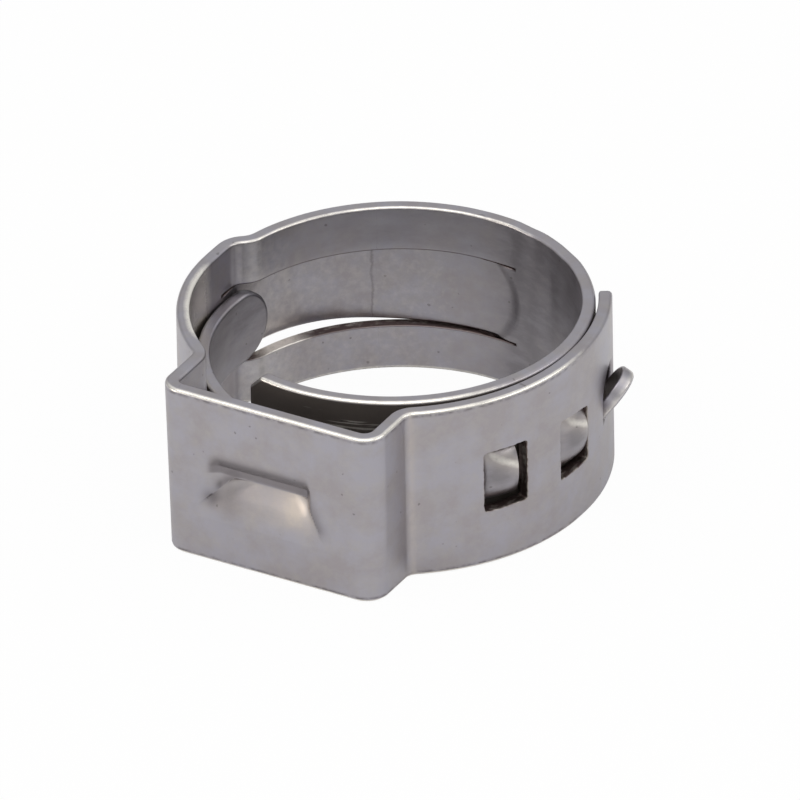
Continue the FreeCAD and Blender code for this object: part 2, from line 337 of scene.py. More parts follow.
@dataclass
class StripLine:
    """The line of the whole strip, with the places where its parts begin."""

    sizes: StripSizes
    line: BendLine = field(default_factory=BendLine)
    neck_start: float = 0.0
    face_start: float = 0.0
    face_middle: float = 0.0
    face_end: float = 0.0
    neck_end: float = 0.0
    pocket_end: float = 0.0
    ring_start: float = 0.0
    shoulder: float = 0.0

    def __post_init__(self) -> None:
        """Lay the strip from its free end to the tip of the tongue."""
        self._outer_layer()
        self._ear()
        self._step()
        self.ring_start = self.line.length
        ring = self.sizes.ring_radius
        self.line.arc(np.zeros(2), ring, self.sizes.step_angle, self.sizes.tongue_end_angle)
        self.shoulder = self.ring_place(self.sizes.shoulder_angle)

    def ring_place(self, angle: float) -> float:
        """Place along the strip at an angle of the ring."""
        turn = math.radians(self.sizes.step_angle - angle)
        return self.ring_start + self.sizes.ring_radius * turn

    def layer_place(self, angle: float) -> float:
        """Place along the strip at an angle of the outer layer."""
        return self.line.place_at_angle(angle, 0.0, self.neck_start)

    def _outer_layer(self) -> None:
        """Free end and flare, down to the start of the shifted arc."""
        sizes = self.sizes
        centre = np.array([sizes.layer_radius - sizes.flare_radius, 0.0])
        flare = sizes.layer_radius * sizes.free_end_angle / sizes.flare_radius
        self.line.arc(centre, sizes.flare_radius, flare, 0.0)
        top = np.array([sizes.layer_radius, 0.0])
        self.line.straight(top, top - [0.0, sizes.layer_shift])

    def _neck_centre(self, x: float) -> np.ndarray:
        """Centre of the bend between the layer and a leg of the ear."""
        reach = self.sizes.layer_radius + self.sizes.neck_bend + self.sizes.half
        return np.array([x, -self.sizes.layer_shift - math.sqrt(reach ** 2 - x ** 2)])

    def _ear(self) -> None:
        """Necks, legs and face of the ear, with the layer arcs that lead to them."""
        sizes, line = self.sizes, self.line
        shift = np.array([0.0, -sizes.layer_shift])
        neck = sizes.neck_bend + sizes.half
        corner = sizes.ear_corner + sizes.half
        right_x = sizes.ear_offset + sizes.ear_width / 2 - sizes.half
        left_x = sizes.ear_offset - sizes.ear_width / 2 + sizes.half
        right_neck = self._neck_centre(right_x + neck)
        left_neck = self._neck_centre(left_x - neck)
        right_angle = angle_of(right_neck - shift)
        left_angle = angle_of(left_neck - shift)
        face_y = sizes.half - sizes.ear_reach
        corner_y = face_y + corner

        line.arc(shift, sizes.layer_radius, 0.0, right_angle)
        self.neck_start = line.length
        line.arc(right_neck, neck, 180 + right_angle, 180.0)
        line.straight(np.array([right_x, right_neck[1]]), np.array([right_x, corner_y]))
        line.arc(np.array([right_x - corner, corner_y]), corner, 0.0, -90.0)
        self.face_start = line.length
        self.face_middle = self.face_start + right_x - corner
        line.straight(np.array([right_x - corner, face_y]), np.array([left_x + corner, face_y]))
        self.face_end = line.length
        line.arc(np.array([left_x + corner, corner_y]), corner, -90.0, -180.0)
        line.straight(np.array([left_x, corner_y]), np.array([left_x, left_neck[1]]))
        line.arc(left_neck, neck, 0.0, 180 + left_angle)
        self.neck_end = line.length
        line.arc(shift, sizes.layer_radius, left_angle, -180.0)

    def _step(self) -> None:
        """End of the pocket and the S-shaped step down to the hose."""
        sizes, line = self.sizes, self.line
        radius = sizes.layer_radius
        line.straight(np.array([-radius, -sizes.layer_shift]), np.array([-radius, 0.0]))
        self.pocket_end = line.length
        high = radius - sizes.step_bend
        low = sizes.ring_radius + sizes.step_bend
        span = (high ** 2 + low ** 2 - (2 * sizes.step_bend) ** 2) / (2 * high * low)
        start_angle = sizes.step_angle + math.degrees(math.acos(span))
        high_centre = polar(high, start_angle)
        low_centre = polar(low, sizes.step_angle)
        crossing = angle_of(low_centre - high_centre)
        line.arc(np.zeros(2), radius, 180.0, start_angle)
        line.arc(high_centre, sizes.step_bend, start_angle, crossing)
        line.arc(low_centre, sizes.step_bend, crossing - 180, sizes.step_angle - 180)


@dataclass
class CutLine:
    """Closed cut line in the flat strip, with the metal on its left.

    The least turn holds the mitres of sharp corners short.
    """

    points: np.ndarray
    rounding: np.ndarray | float
    edge: Edge
    least_turn: float = 0.4

    def outward(self) -> tuple[np.ndarray, np.ndarray]:
        """Directions away from the metal.

        Returns:
            Unit directions at the points, and how far a mitred offset stretches there.
        """
        ahead = np.roll(self.points, -1, axis=0) - self.points
        ahead /= np.linalg.norm(ahead, axis=1)[:, None]
        right = np.stack([ahead[:, 1], -ahead[:, 0]], axis=1)
        both = right + np.roll(right, 1, axis=0)
        both /= np.linalg.norm(both, axis=1)[:, None]
        mitre = 1.0 / np.clip((both * right).sum(axis=1), self.least_turn, 1.0)
        return both, mitre


class FlatDraughtsman:
    """Draws closed outlines with round corners, with points where the bent strip needs them."""

    corner_steps = 5
    arc_step = 0.13
    level_share = 0.1
    end_share = 0.25

    def __init__(self, columns: np.ndarray) -> None:
        """Keep the columns at which long edges get points."""
        self.columns = columns

    def outline(self, corners: list[tuple[float, float, float]], step: float) -> np.ndarray:
        """Polygon with round corners.

        Args:
            corners: place, height and rounding of each corner, in order.
            step: widest spacing of points along an edge.

        Returns:
            The points of the closed outline.
        """
        points: list[np.ndarray] = []
        count = len(corners)
        for index in range(count):
            before = np.array(corners[index - 1][:2])
            here = np.array(corners[index][:2])
            after = np.array(corners[(index + 1) % count][:2])
            arc = self._corner(before, here, after, corners[index][2])
            if points:
                points.extend(self._between(points[-1], arc[0], step))
            points.extend(arc)
        points.extend(self._between(points[-1], points[0], step))
        return np.array(points)

    def _corner(
        self, before: np.ndarray, here: np.ndarray, after: np.ndarray, radius: float
    ) -> list[np.ndarray]:
        """Points round one corner.

        Args:
            before: the corner before it.
            here: the corner itself.
            after: the corner after it.
            radius: its rounding, or zero.

        Returns:
            The points of its arc, or the corner itself.
        """
        if radius <= 0:
            return [here]
        back = (before - here) / np.linalg.norm(before - here)
        ahead = (after - here) / np.linalg.norm(after - here)
        half_angle = math.acos(float(np.clip(back @ ahead, -1, 1))) / 2
        reach = radius / math.tan(half_angle)
        middle = back + ahead
        centre = here + middle / np.linalg.norm(middle) * radius / math.sin(half_angle)
        first = here + back * reach - centre
        last = here + ahead * reach - centre
        turn = math.pi - 2 * half_angle
        way = math.copysign(1.0, first[0] * last[1] - first[1] * last[0])
        found = []
        steps = max(self.corner_steps, math.ceil(radius * turn / self.arc_step))
        for number in range(steps + 1):
            angle = way * turn * number / steps
            found.append(centre + np.array([
                first[0] * math.cos(angle) - first[1] * math.sin(angle),
                first[0] * math.sin(angle) + first[1] * math.cos(angle),
            ]))
        return found

    def _between(self, start: np.ndarray, end: np.ndarray, step: float) -> list[np.ndarray]:
        """Points strictly between two others.

        Args:
            start: the point before them.
            end: the point after them.
            step: widest spacing of points along the edge.

        Returns:
            The points, on the mesh's columns where the edge runs along the strip.
        """
        length = float(np.linalg.norm(end - start))
        if length <= step:
            return []
        shares = np.arange(1, math.ceil(length / step)) / math.ceil(length / step)
        if abs(end[1] - start[1]) < step * self.level_share:
            inside = (self.columns - start[0]) / (end[0] - start[0])
            margin = step * self.end_share / length
            inside = inside[(inside > margin) & (inside < 1 - margin)]
            if len(inside) and step >= BendLine.widest_step:
                shares = np.sort(inside)
        return [start + (end - start) * share for share in shares]


@dataclass
class Window:
    """Window of the outer layer."""

    place: float
    slant: float
    length: float = 2.35
    height: float = 3.2
    corner: float = 0.16
    edge_round: float = 0.06
    point_step: float = 0.1
    wobble: float = 0.009
    wobble_waves: tuple = (9, 23, 41)

    def cuts(self, draw: FlatDraughtsman, middle: float) -> list[CutLine]:
        """Cut line of the window, slightly ragged.

        Args:
            draw: the draughtsman of the flat strip.
            middle: height of the middle of the strip.

        Returns:
            The one closed cut line.
        """
        low, high = self.place - self.length / 2, self.place + self.length / 2
        bottom, top = middle - self.height / 2, middle + self.height / 2
        corners = [(low, bottom), (low, top - self.slant), (high, top), (high, bottom)]
        points = draw.outline([(s, z, self.corner) for s, z in corners], self.point_step)
        turn = np.arctan2(points[:, 1] - middle, points[:, 0] - self.place)
        slow, brisk, quick = self.wobble_waves
        ragged = np.sin(slow * turn + self.place) + np.sin(brisk * turn + 2 * self.place)
        ragged += np.sin(quick * turn)
        cut = CutLine(points, self.edge_round, Edge.SHEARED)
        away, _ = cut.outward()
        cut.points = points + away * (self.wobble * ragged)[:, None]
        return [cut]


@dataclass
class Hook:
    """Half dome pushed out of the ring, with a sheared mouth towards the free end."""

    mouth: float
    height: float
    middle: float
    length: float = 1.85
    width: float = 2.86
    slot: float = 0.13
    slot_corner: float = 0.06
    edge_round: float = 0.04
    nose: float = 1.5
    crown: float = 0.52
    lip_drop: float = 0.06
    lip_length: float = 0.3
    point_step: float = 0.08
    spacing: float = 0.085

    def cuts(self, draw: FlatDraughtsman) -> list[CutLine]:
        """Cut line of the slot in front of the mouth.

        Args:
            draw: the draughtsman of the flat strip.

        Returns:
            The one closed cut line.
        """
        low, high = self.mouth - self.slot, self.mouth
        bottom, top = self.middle - self.width / 2, self.middle + self.width / 2
        corners = [(low, bottom), (low, top), (high, top), (high, bottom)]
        points = draw.outline([(s, z, self.slot_corner) for s, z in corners], self.point_step)
        return [CutLine(points, self.edge_round, Edge.SHEARED)]

    def rise(self, points: np.ndarray) -> np.ndarray:
        """How far the hook stands out of the ring.

        Args:
            points: points of the flat strip.

        Returns:
            The rise at each point.
        """
        place, height = points.T
        across = np.clip(np.abs(height - self.middle) / (self.width / 2), 0.0, 1.0)
        arch = (1.0 - across ** 2) ** self.crown
        along = round_rise((self.mouth + self.length - place) / self.nose)
        behind = place > self.mouth - self.slot / 2
        lip = smooth_rise((self.mouth + self.lip_length - place) / self.lip_length)
        return self.height * arch * along * (1.0 - self.lip_drop * lip) * behind

    def dense_area(self) -> Area:
        """Area that needs a fine lattice.

        Returns:
            Its bounds and the spacing of its points.
        """
        half = self.width / 2
        low, high = self.mouth, self.mouth + self.length
        return low, high, self.middle - half, self.middle + half, self.spacing


@dataclass
class Flap:
    """Half round flap bent outwards along its lower side."""

    place: float
    hinge: float = 3.85
    width: float = 2.5
    length: float = 2.16
    gap: float = 0.06
    lift: float = 36.5
    bend: float = 0.2
    edge_round: float = 0.16
    hole_round: float = 0.26
    foot_round: float = 0.05
    arc_points: int = 25
    side_points: int = 8
    spacing: float = 0.13

    @property
    def shoulder(self) -> float:
        """Height at which the straight sides end."""
        return self.hinge + self.length - self.width / 2

    def _half_round(self, spare: float) -> list[np.ndarray]:
        """Outline from the left foot over the top to the right foot.

        Args:
            spare: how far it is grown.

        Returns:
            Its points.
        """
        reach = self.width / 2 + spare
        top = np.array([self.place, self.shoulder])
        turns = np.linspace(math.pi, 0.0, self.arc_points)
        arc = [top + np.array([reach * math.cos(turn), reach * math.sin(turn)]) for turn in turns]
        heights = np.linspace(self.hinge, self.shoulder, self.side_points)[:-1]
        left = [np.array([self.place - reach, height]) for height in heights]
        right = [np.array([self.place + reach, height]) for height in heights[::-1]]
        return left + arc + right

    def cuts(self) -> list[CutLine]:
        """Cut line of the narrow slit round the flap, whose own edge is well rounded.

        Returns:
            The one closed cut line.
        """
        hole, flap = self._half_round(self.gap), self._half_round(0.0)[::-1]
        rounding = np.array([self.hole_round] * len(hole) + [self.edge_round] * len(flap))
        rounding[len(hole)] = rounding[-1] = self.foot_round
        return [CutLine(np.array(hole + flap), rounding, Edge.TUMBLED)]

    def holds(self, points: np.ndarray) -> np.ndarray:
        """Which points belong to the flap.

        Args:
            points: points of the flat strip.

        Returns:
            True for each point that does.
        """
        place, height = points.T
        reach = self.width / 2 + self.gap / 2
        beside = np.abs(place - self.place) < reach
        above = (height > self.hinge) & (height <= self.shoulder)
        round_end = np.hypot(place - self.place, height - self.shoulder) < reach
        return (beside & above) | (round_end & (height > self.shoulder))

    def fold(self, height: np.ndarray, depth: np.ndarray) -> tuple[np.ndarray, np.ndarray]:
        """Bend the flap out of the layer.

        Args:
            height: heights on the flat strip.
            depth: depths from its middle plane.

        Returns:
            The heights and depths after the bend.
        """
        run = height - self.hinge
        full = math.radians(self.lift)
        radius = self.bend / full
        turn = np.clip(run / self.bend, 0.0, 1.0) * full
        beyond = np.clip(run - self.bend, 0.0, None)
        rise = radius * np.sin(turn) + beyond * math.cos(full) + np.minimum(run, 0.0)
        out = radius * (1 - np.cos(turn)) + beyond * math.sin(full)
        return self.hinge + rise - depth * np.sin(turn), out + depth * np.cos(turn)

    def dense_area(self) -> Area:
        """Area that needs a fine lattice.

        Returns:
            Its bounds and the spacing of its points.
        """
        half = self.width / 2
        low, high = self.place - half, self.place + half
        return low, high, self.hinge - self.bend, self.hinge + self.length, self.spacing


@dataclass
class Channel:
    """Slits along the ring, with the panel between them pushed outwards."""

    strip: StripLine
    width: float = 4.2
    gap: float = 0.07
    edge_round: float = 0.11
    swell: float = 0.18
    swell_end: float = 0.9
    end_bulge: float = 0.9
    free_run: float = 1.4
    end_gap: float = 0.03
    dome: float = 0.7
    swell_slope: float = 3.0
    swell_start: float = 1.75
    point_step: float = 0.2
    fine_inset: float = 0.1
    fine_before: float = 1.6
    fine_after: float = 0.8
    spacing: float = 0.14
    end_angle: float = 80.0
    panel_bend: float = 7.0
    ramp_radius: float = 12.0
    panel_line: BendLine = field(default_factory=BendLine)

    def __post_init__(self) -> None:
        """Lay the panel's own line between the pocket and the ring."""
        sizes = self.strip.sizes
        self.start = self.strip.pocket_end
        self.end = self.strip.ring_place(self.end_angle)
        ramp_centre = polar(sizes.ring_radius - self.ramp_radius, self.end_angle)
        bend_x = self.panel_bend - sizes.layer_radius
        between = self.ramp_radius - self.panel_bend
        bend_y = ramp_centre[1] + math.sqrt(between ** 2 - (bend_x - ramp_centre[0]) ** 2)
        bend_centre = np.array([bend_x, bend_y])
        meeting = angle_of(bend_centre - ramp_centre)
        line = self.panel_line
        line.straight(np.array([-sizes.layer_radius, 0.0]), np.array([-sizes.layer_radius, bend_y]))
        line.arc(bend_centre, self.panel_bend, 180.0, meeting)
        line.arc(ramp_centre, self.ramp_radius, meeting, self.end_angle)

    def cuts(self, draw: FlatDraughtsman) -> list[CutLine]:
        """Cut lines of the two slits, which close towards their ends.

        Args:
            draw: the draughtsman of the flat strip.

        Returns:
            The two closed cut lines.
        """
        found = []
        for side in (-1, 1):
            outer = self.strip.sizes.middle + side * self.width / 2
            inner = outer - side * self.gap
            closed = outer - side * self.end_gap
            corners = [(self.start, min(outer, inner)), (self.start, max(outer, inner))]
            corners += [(self.end, max(outer, closed)), (self.end, min(outer, closed))]
            points = draw.outline([(s, z, 0.0) for s, z in corners], self.point_step)
            found.append(CutLine(points, self.edge_round, Edge.SHEARED))
        return found

    def holds(self, points: np.ndarray) -> np.ndarray:
        """Which points belong to the panel.

        Args:
            points: points of the flat strip.

        Returns:
            True for each point that does.
        """
        place, height = points.T
        reach = (self.width - self.gap) / 2
        inside = (place > self.start) & (place < self.end)
        return inside & (np.abs(height - self.strip.sizes.middle) < reach)

    def at(self, place: np.ndarray) -> tuple[np.ndarray, np.ndarray]:
        """Points and left directions of the panel's line at places of the strip."""
        share = (place - self.start) / (self.end - self.start)
        return self.panel_line.at(share * self.panel_line.length)

    def rise(self, points: np.ndarray) -> np.ndarray:
        """How far the panel swells outwards before it runs back into the ring.

        Args:
            points: points of the flat strip.

        Returns:
            The rise at each point.
        """
        place, height = points.T
        across = np.clip(np.abs(height - self.strip.sizes.middle) / (self.width / 2), 0.0, 1.0)
        inside = self.holds(points)
        free = smooth_rise((self.end - place) / self.free_run) * inside
        dome = (1.0 - across ** 2) ** self.dome
        share = (place - self.start) / (self.end - self.start)
        start = smooth_rise(share * self.swell_slope - self.swell_start)
        round_end = place - self.end + self.end_bulge * across ** 2
        stop = 1.0 - smooth_rise((round_end + self.swell_end / 2) / self.swell_end)
        near = inside | (place >= self.end)
        return self.swell * start * stop * (free + (1.0 - free) * dome) * near

    def dense_area(self) -> Area:
        """Area that needs a fine lattice.

        Returns:
            Its bounds and the spacing of its points.
        """
        half = self.width / 2 - self.fine_inset
        middle = self.strip.sizes.middle
        low, high = self.end - self.fine_before, self.end + self.fine_after
        return low, high, middle - half, middle + half, self.spacing


@dataclass(frozen=True)
class Spot:
    """Soft round spot on the face of the ear, in the frame of the dimple."""

    middle: tuple[float, float]
    size: float
    strength: float = 1.0


@dataclass
class Dimple:
    """Dent across the face of the ear: a shallow groove above a pocket with a slanting floor.

    The sizes are in a frame with its first axis to the right along the face.
    """

    place: float
    groove_left: float = -3.75
    groove_right: float = 2.3
    groove_top: float = 6.2
    ledge: float = 5.2
    groove_depth: float = 0.34
    groove_end: float = 0.9
    right_end_share: float = 0.6
    groove_slope: float = 1.7
    groove_foot: float = 3.4
    groove_fade: float = 1.2
    pocket_depth: float = 0.62
    pocket_lip: float = 0.2
    pocket_side: float = 0.9
    pocket_slope: float = 1.4
    pocket_bottom: float = 2.3
    foot: Spot = Spot((-3.35, 3.5), 0.45, 0.07)
    fine_margins: tuple = (0.5, 0.3, 0.1)
    spacing: float = 0.075
    left_foot: tuple = (-3.75, 3.35)
    left_top: tuple = (-2.2, 4.78)
    right_top: tuple = (1.85, 4.78)
    right_foot: tuple = (2.55, 3.4)

    def _inside(self, x: np.ndarray, z: np.ndarray, start: tuple, end: tuple) -> np.ndarray:
        """Distance of points to the right of a line.

        Args:
            x: their places in the frame of the dimple.
            z: their heights.
            start: start of the line.
            end: its end.

        Returns:
            The distances, negative on the left of the line.
        """
        along = np.array(end) - np.array(start)
        along /= np.linalg.norm(along)
        return (x - start[0]) * along[1] - (z - start[1]) * along[0]

    def groove(self, points: np.ndarray) -> np.ndarray:
        """Form of the groove.

        Args:
            points: points of the flat strip.

        Returns:
            The share of the groove's depth at each point.
        """
        x, height = self.place - points[:, 0], points[:, 1]
        ends = smooth_rise((x - self.groove_left) / self.groove_end)
        ends *= smooth_rise((self.groove_right - x) / (self.right_end_share * self.groove_end))
        fall = np.clip((self.groove_top - height) / (self.groove_top - self.ledge), 0.0, 1.0)
        fade = smooth_rise((height - self.groove_foot) / self.groove_fade)
        return ends * fall ** self.groove_slope * fade

    def pocket(self, points: np.ndarray) -> np.ndarray:
        """Form of the pocket.

        Args:
            points: points of the flat strip.

        Returns:
            The share of the pocket's depth at each point.
        """
        x, height = self.place - points[:, 0], points[:, 1]
        side = np.minimum(
            self._inside(x, height, self.left_foot, self.left_top),
            self._inside(x, height, self.right_top, self.right_foot),
        )
        lip = self.left_top[1]
        walls = round_rise(side / self.pocket_side) * round_rise((lip - height) / self.pocket_lip)
        floor = np.clip((height - self.pocket_bottom) / (lip - self.pocket_bottom), 0.0, 1.0)
        return walls * floor ** self.pocket_slope

    def rise(self, points: np.ndarray) -> np.ndarray:
        """How far the face is dented.

        Args:
            points: points of the flat strip.

        Returns:
            The rise at each point, which is negative.
        """
        groove = self.groove_depth * self.groove(points)
        pocket = self.pocket_depth * self.pocket(points)
        return -np.hypot(groove, pocket) - self.spot(points, self.foot)

    def spot(self, points: np.ndarray, spot: Spot) -> np.ndarray:
        """Soft spot on the face.

        Args:
            points: points of the flat strip.
            spot: the spot.

        Returns:
            Its strength at each point.
        """
        x, height = self.place - points[:, 0], points[:, 1]
        away = np.hypot(x - spot.middle[0], height - spot.middle[1])
        return spot.strength * bell(away, spot.size)

    def beside(self, points: np.ndarray, start: tuple, end: tuple, size: float) -> np.ndarray:
        """Soft band along a crease, 1 on the crease itself.

        Args:
            points: points of the flat strip.
            start: one end of the crease, in the frame of the dimple.
            end: its other end.
            size: reach of the band.

        Returns:
            The band's strength at each point.
        """
        x, height = self.place - points[:, 0], points[:, 1]
        along = np.array(end) - np.array(start)
        share = ((x - start[0]) * along[0] + (height - start[1]) * along[1]) / (along @ along)
        share = np.clip(share, 0.0, 1.0)
        away = np.hypot(x - start[0] - share * along[0], height - start[1] - share * along[1])
        return bell(away, size)

    def dense_area(self) -> Area:
        """Area that needs a fine lattice.

        Returns:
            Its bounds and the spacing of its points.
        """
        before, after, beside = self.fine_margins
        low = self.place - self.right_foot[0] - before
        high = self.place - self.left_foot[0] + after
        return low, high, self.pocket_bottom - beside, self.groove_top + beside, self.spacing


@dataclass
class FlatMesh:
    """Triangles of the flat strip, with what each point needs to be rounded and bent."""

    points: np.ndarray
    lean: np.ndarray
    rounding: np.ndarray
    outward: np.ndarray
    edges_of: dict[Edge, np.ndarray]
    triangles: np.ndarray
    rims: list[np.ndarray]


class FlatStrip:
    """The flat strip as a mesh: cut lines, rounded edges and a lattice between them."""

    leans = (0.0, 30.0, 60.0, 90.0)
    row_step = 0.33
    clear = 0.07
    reach = 1.0
    smallest = 1e-9
    merge = 1e-7

    def __init__(self, columns: np.ndarray, width: float) -> None:
        """Start a strip without cut lines.

        Args:
            columns: places of the lattice's columns.
            width: the strip's width.
        """
        self.columns = columns
        self.width = width
        self.cuts: list[CutLine] = []
        self.dense: list[Area] = []

    def mesh(self) -> FlatMesh:
        """Triangulate the strip.

        Returns:
            The flat mesh, with one row of values for each of its points.
        """
        blocks, constraints, rims = [], [], []
        first = 0
        for cut in self.cuts:
            away, mitre = cut.outward()
            count = len(cut.points)
            edge_round = np.broadcast_to(cut.rounding, (count,))
            for angle in self.leans:
                level = math.cos(math.radians(angle))
                points = cut.points - away * (mitre * edge_round * (1 - level))[:, None]
                near = [level if edge is cut.edge else 0.0 for edge in Edge]
                blocks.append([points, away, edge_round])
                blocks[-1] += [np.full(count, value) for value in (angle, *near)]
                ring = first + np.arange(count)
                first += count
                constraints.append(np.stack([ring, np.roll(ring, -1)], axis=1))
                if angle == 0.0:
                    rims.append(ring)
        lattice = self._lattice()
        none = np.zeros(len(lattice))
        blocks.append([lattice, np.zeros_like(lattice), none, none + 90.0, none, none])
        points, *values = [np.concatenate(column) for column in zip(*blocks)]
        triangles, source = self._triangulate(points, np.concatenate(constraints))
        place_of = {int(old): new for new, old in enumerate(source)}
        rims = [np.array([place_of[int(i)] for i in rim]) for rim in rims]
        outward, rounding, lean, *near = [value[source] for value in values]
        edges_of = dict(zip(Edge, near))
        return FlatMesh(points[source], lean, rounding, outward, edges_of, triangles, rims)

    def _lattice(self) -> np.ndarray:
        """Points between the cut lines.

        Returns:
            The points, denser where the strip is formed.
        """
        rows = np.linspace(0.0, self.width, round(self.width / self.row_step) + 1)[1:-1]
        base = np.stack(np.meshgrid(self.columns, rows), axis=-1).reshape(-1, 2)
        blocks = []
        for low, high, bottom, top, step in self.dense:
            within = (base[:, 0] > low - step) & (base[:, 0] < high + step)
            within &= (base[:, 1] > bottom - step) & (base[:, 1] < top + step)
            base = base[~within]
            across = np.linspace(low, high, round((high - low) / step) + 1)
            upward = np.linspace(bottom, top, round((top - bottom) / step) + 1)
            blocks.append(np.stack(np.meshgrid(across, upward), axis=-1).reshape(-1, 2))
        points = np.concatenate([base] + blocks)
        keep = self._in_metal(points)
        for cut in self.cuts:
            keep &= self._distance(points, cut) > np.max(cut.rounding) + self.clear
        return points[keep]

    def _in_metal(self, points: np.ndarray) -> np.ndarray:
        """Which points lie in the metal, by counting the cut lines above them.

        Args:
            points: points of the flat strip.

        Returns:
            True for each point in the metal.
        """
        inside = np.zeros(len(points), bool)
        for cut in self.cuts:
            ends = np.roll(cut.points, -1, axis=0)
            for (s0, z0), (s1, z1) in zip(cut.points, ends):
                if s0 == s1:
                    continue
                spans = (points[:, 0] >= min(s0, s1)) & (points[:, 0] < max(s0, s1))
                crossing = z0 + (points[spans, 0] - s0) * (z1 - z0) / (s1 - s0)
                inside[spans] ^= crossing > points[spans, 1]
        return inside

    def _distance(self, points: np.ndarray, cut: CutLine) -> np.ndarray:
        """Distances to a cut line.

        Args:
            points: points of the flat strip.
            cut: the cut line.

        Returns:
            The distance of each point near the line, and infinity farther away.
        """
        found = np.full(len(points), np.inf)
        low, high = cut.points.min(axis=0) - self.reach, cut.points.max(axis=0) + self.reach
        near = np.nonzero(((points > low) & (points < high)).all(axis=1))[0]
        chosen = points[near]
        best = np.full(len(near), np.inf)
        ends = np.roll(cut.points, -1, axis=0)
        for start, end in zip(cut.points, ends):
            along = end - start
            share = np.clip(((chosen - start) @ along) / (along @ along), 0.0, 1.0)
            gap = np.linalg.norm(chosen - start - share[:, None] * along, axis=1)
            best = np.minimum(best, gap)
        found[near] = best
        return found

    def _triangulate(
        self, points: np.ndarray, constraints: np.ndarray
    ) -> tuple[np.ndarray, np.ndarray]:
        """Triangles of the metal.

        Args:
            points: all points of the flat strip.
            constraints: pairs of points that an edge has to join.

        Returns:
            The triangles, turned counter-clockwise, and for each new point its old number.
        """
        flat = [Vector(point) for point in points]
        pairs = [tuple(int(end) for end in pair) for pair in constraints]
        vertices, _, faces, sources, _, _ = delaunay_2d_cdt(flat, pairs, [], 0, self.merge)
        source = np.array([origin[0] if origin else -1 for origin in sources])
        if (source < 0).any():
            raise ValueError("cut lines of the strip cross each other")
        triangles = np.array([tuple(face) for face in faces])
        corners = np.array([vertex[:] for vertex in vertices])[triangles]
        keep = self._in_metal(corners.mean(axis=1))
        first = corners[:, 1] - corners[:, 0]
        second = corners[:, 2] - corners[:, 0]
        area = first[:, 0] * second[:, 1] - first[:, 1] * second[:, 0]
        keep &= np.abs(area) > self.smallest
        turned = area < 0
        triangles[turned] = triangles[turned][:, ::-1]
        return triangles[keep], source


@dataclass(frozen=True)
class Mark:
    """Soft band across the ring: its angle, its reach along the strip and its strength."""

    angle: float
    reach: float
    strength: float = 1.0


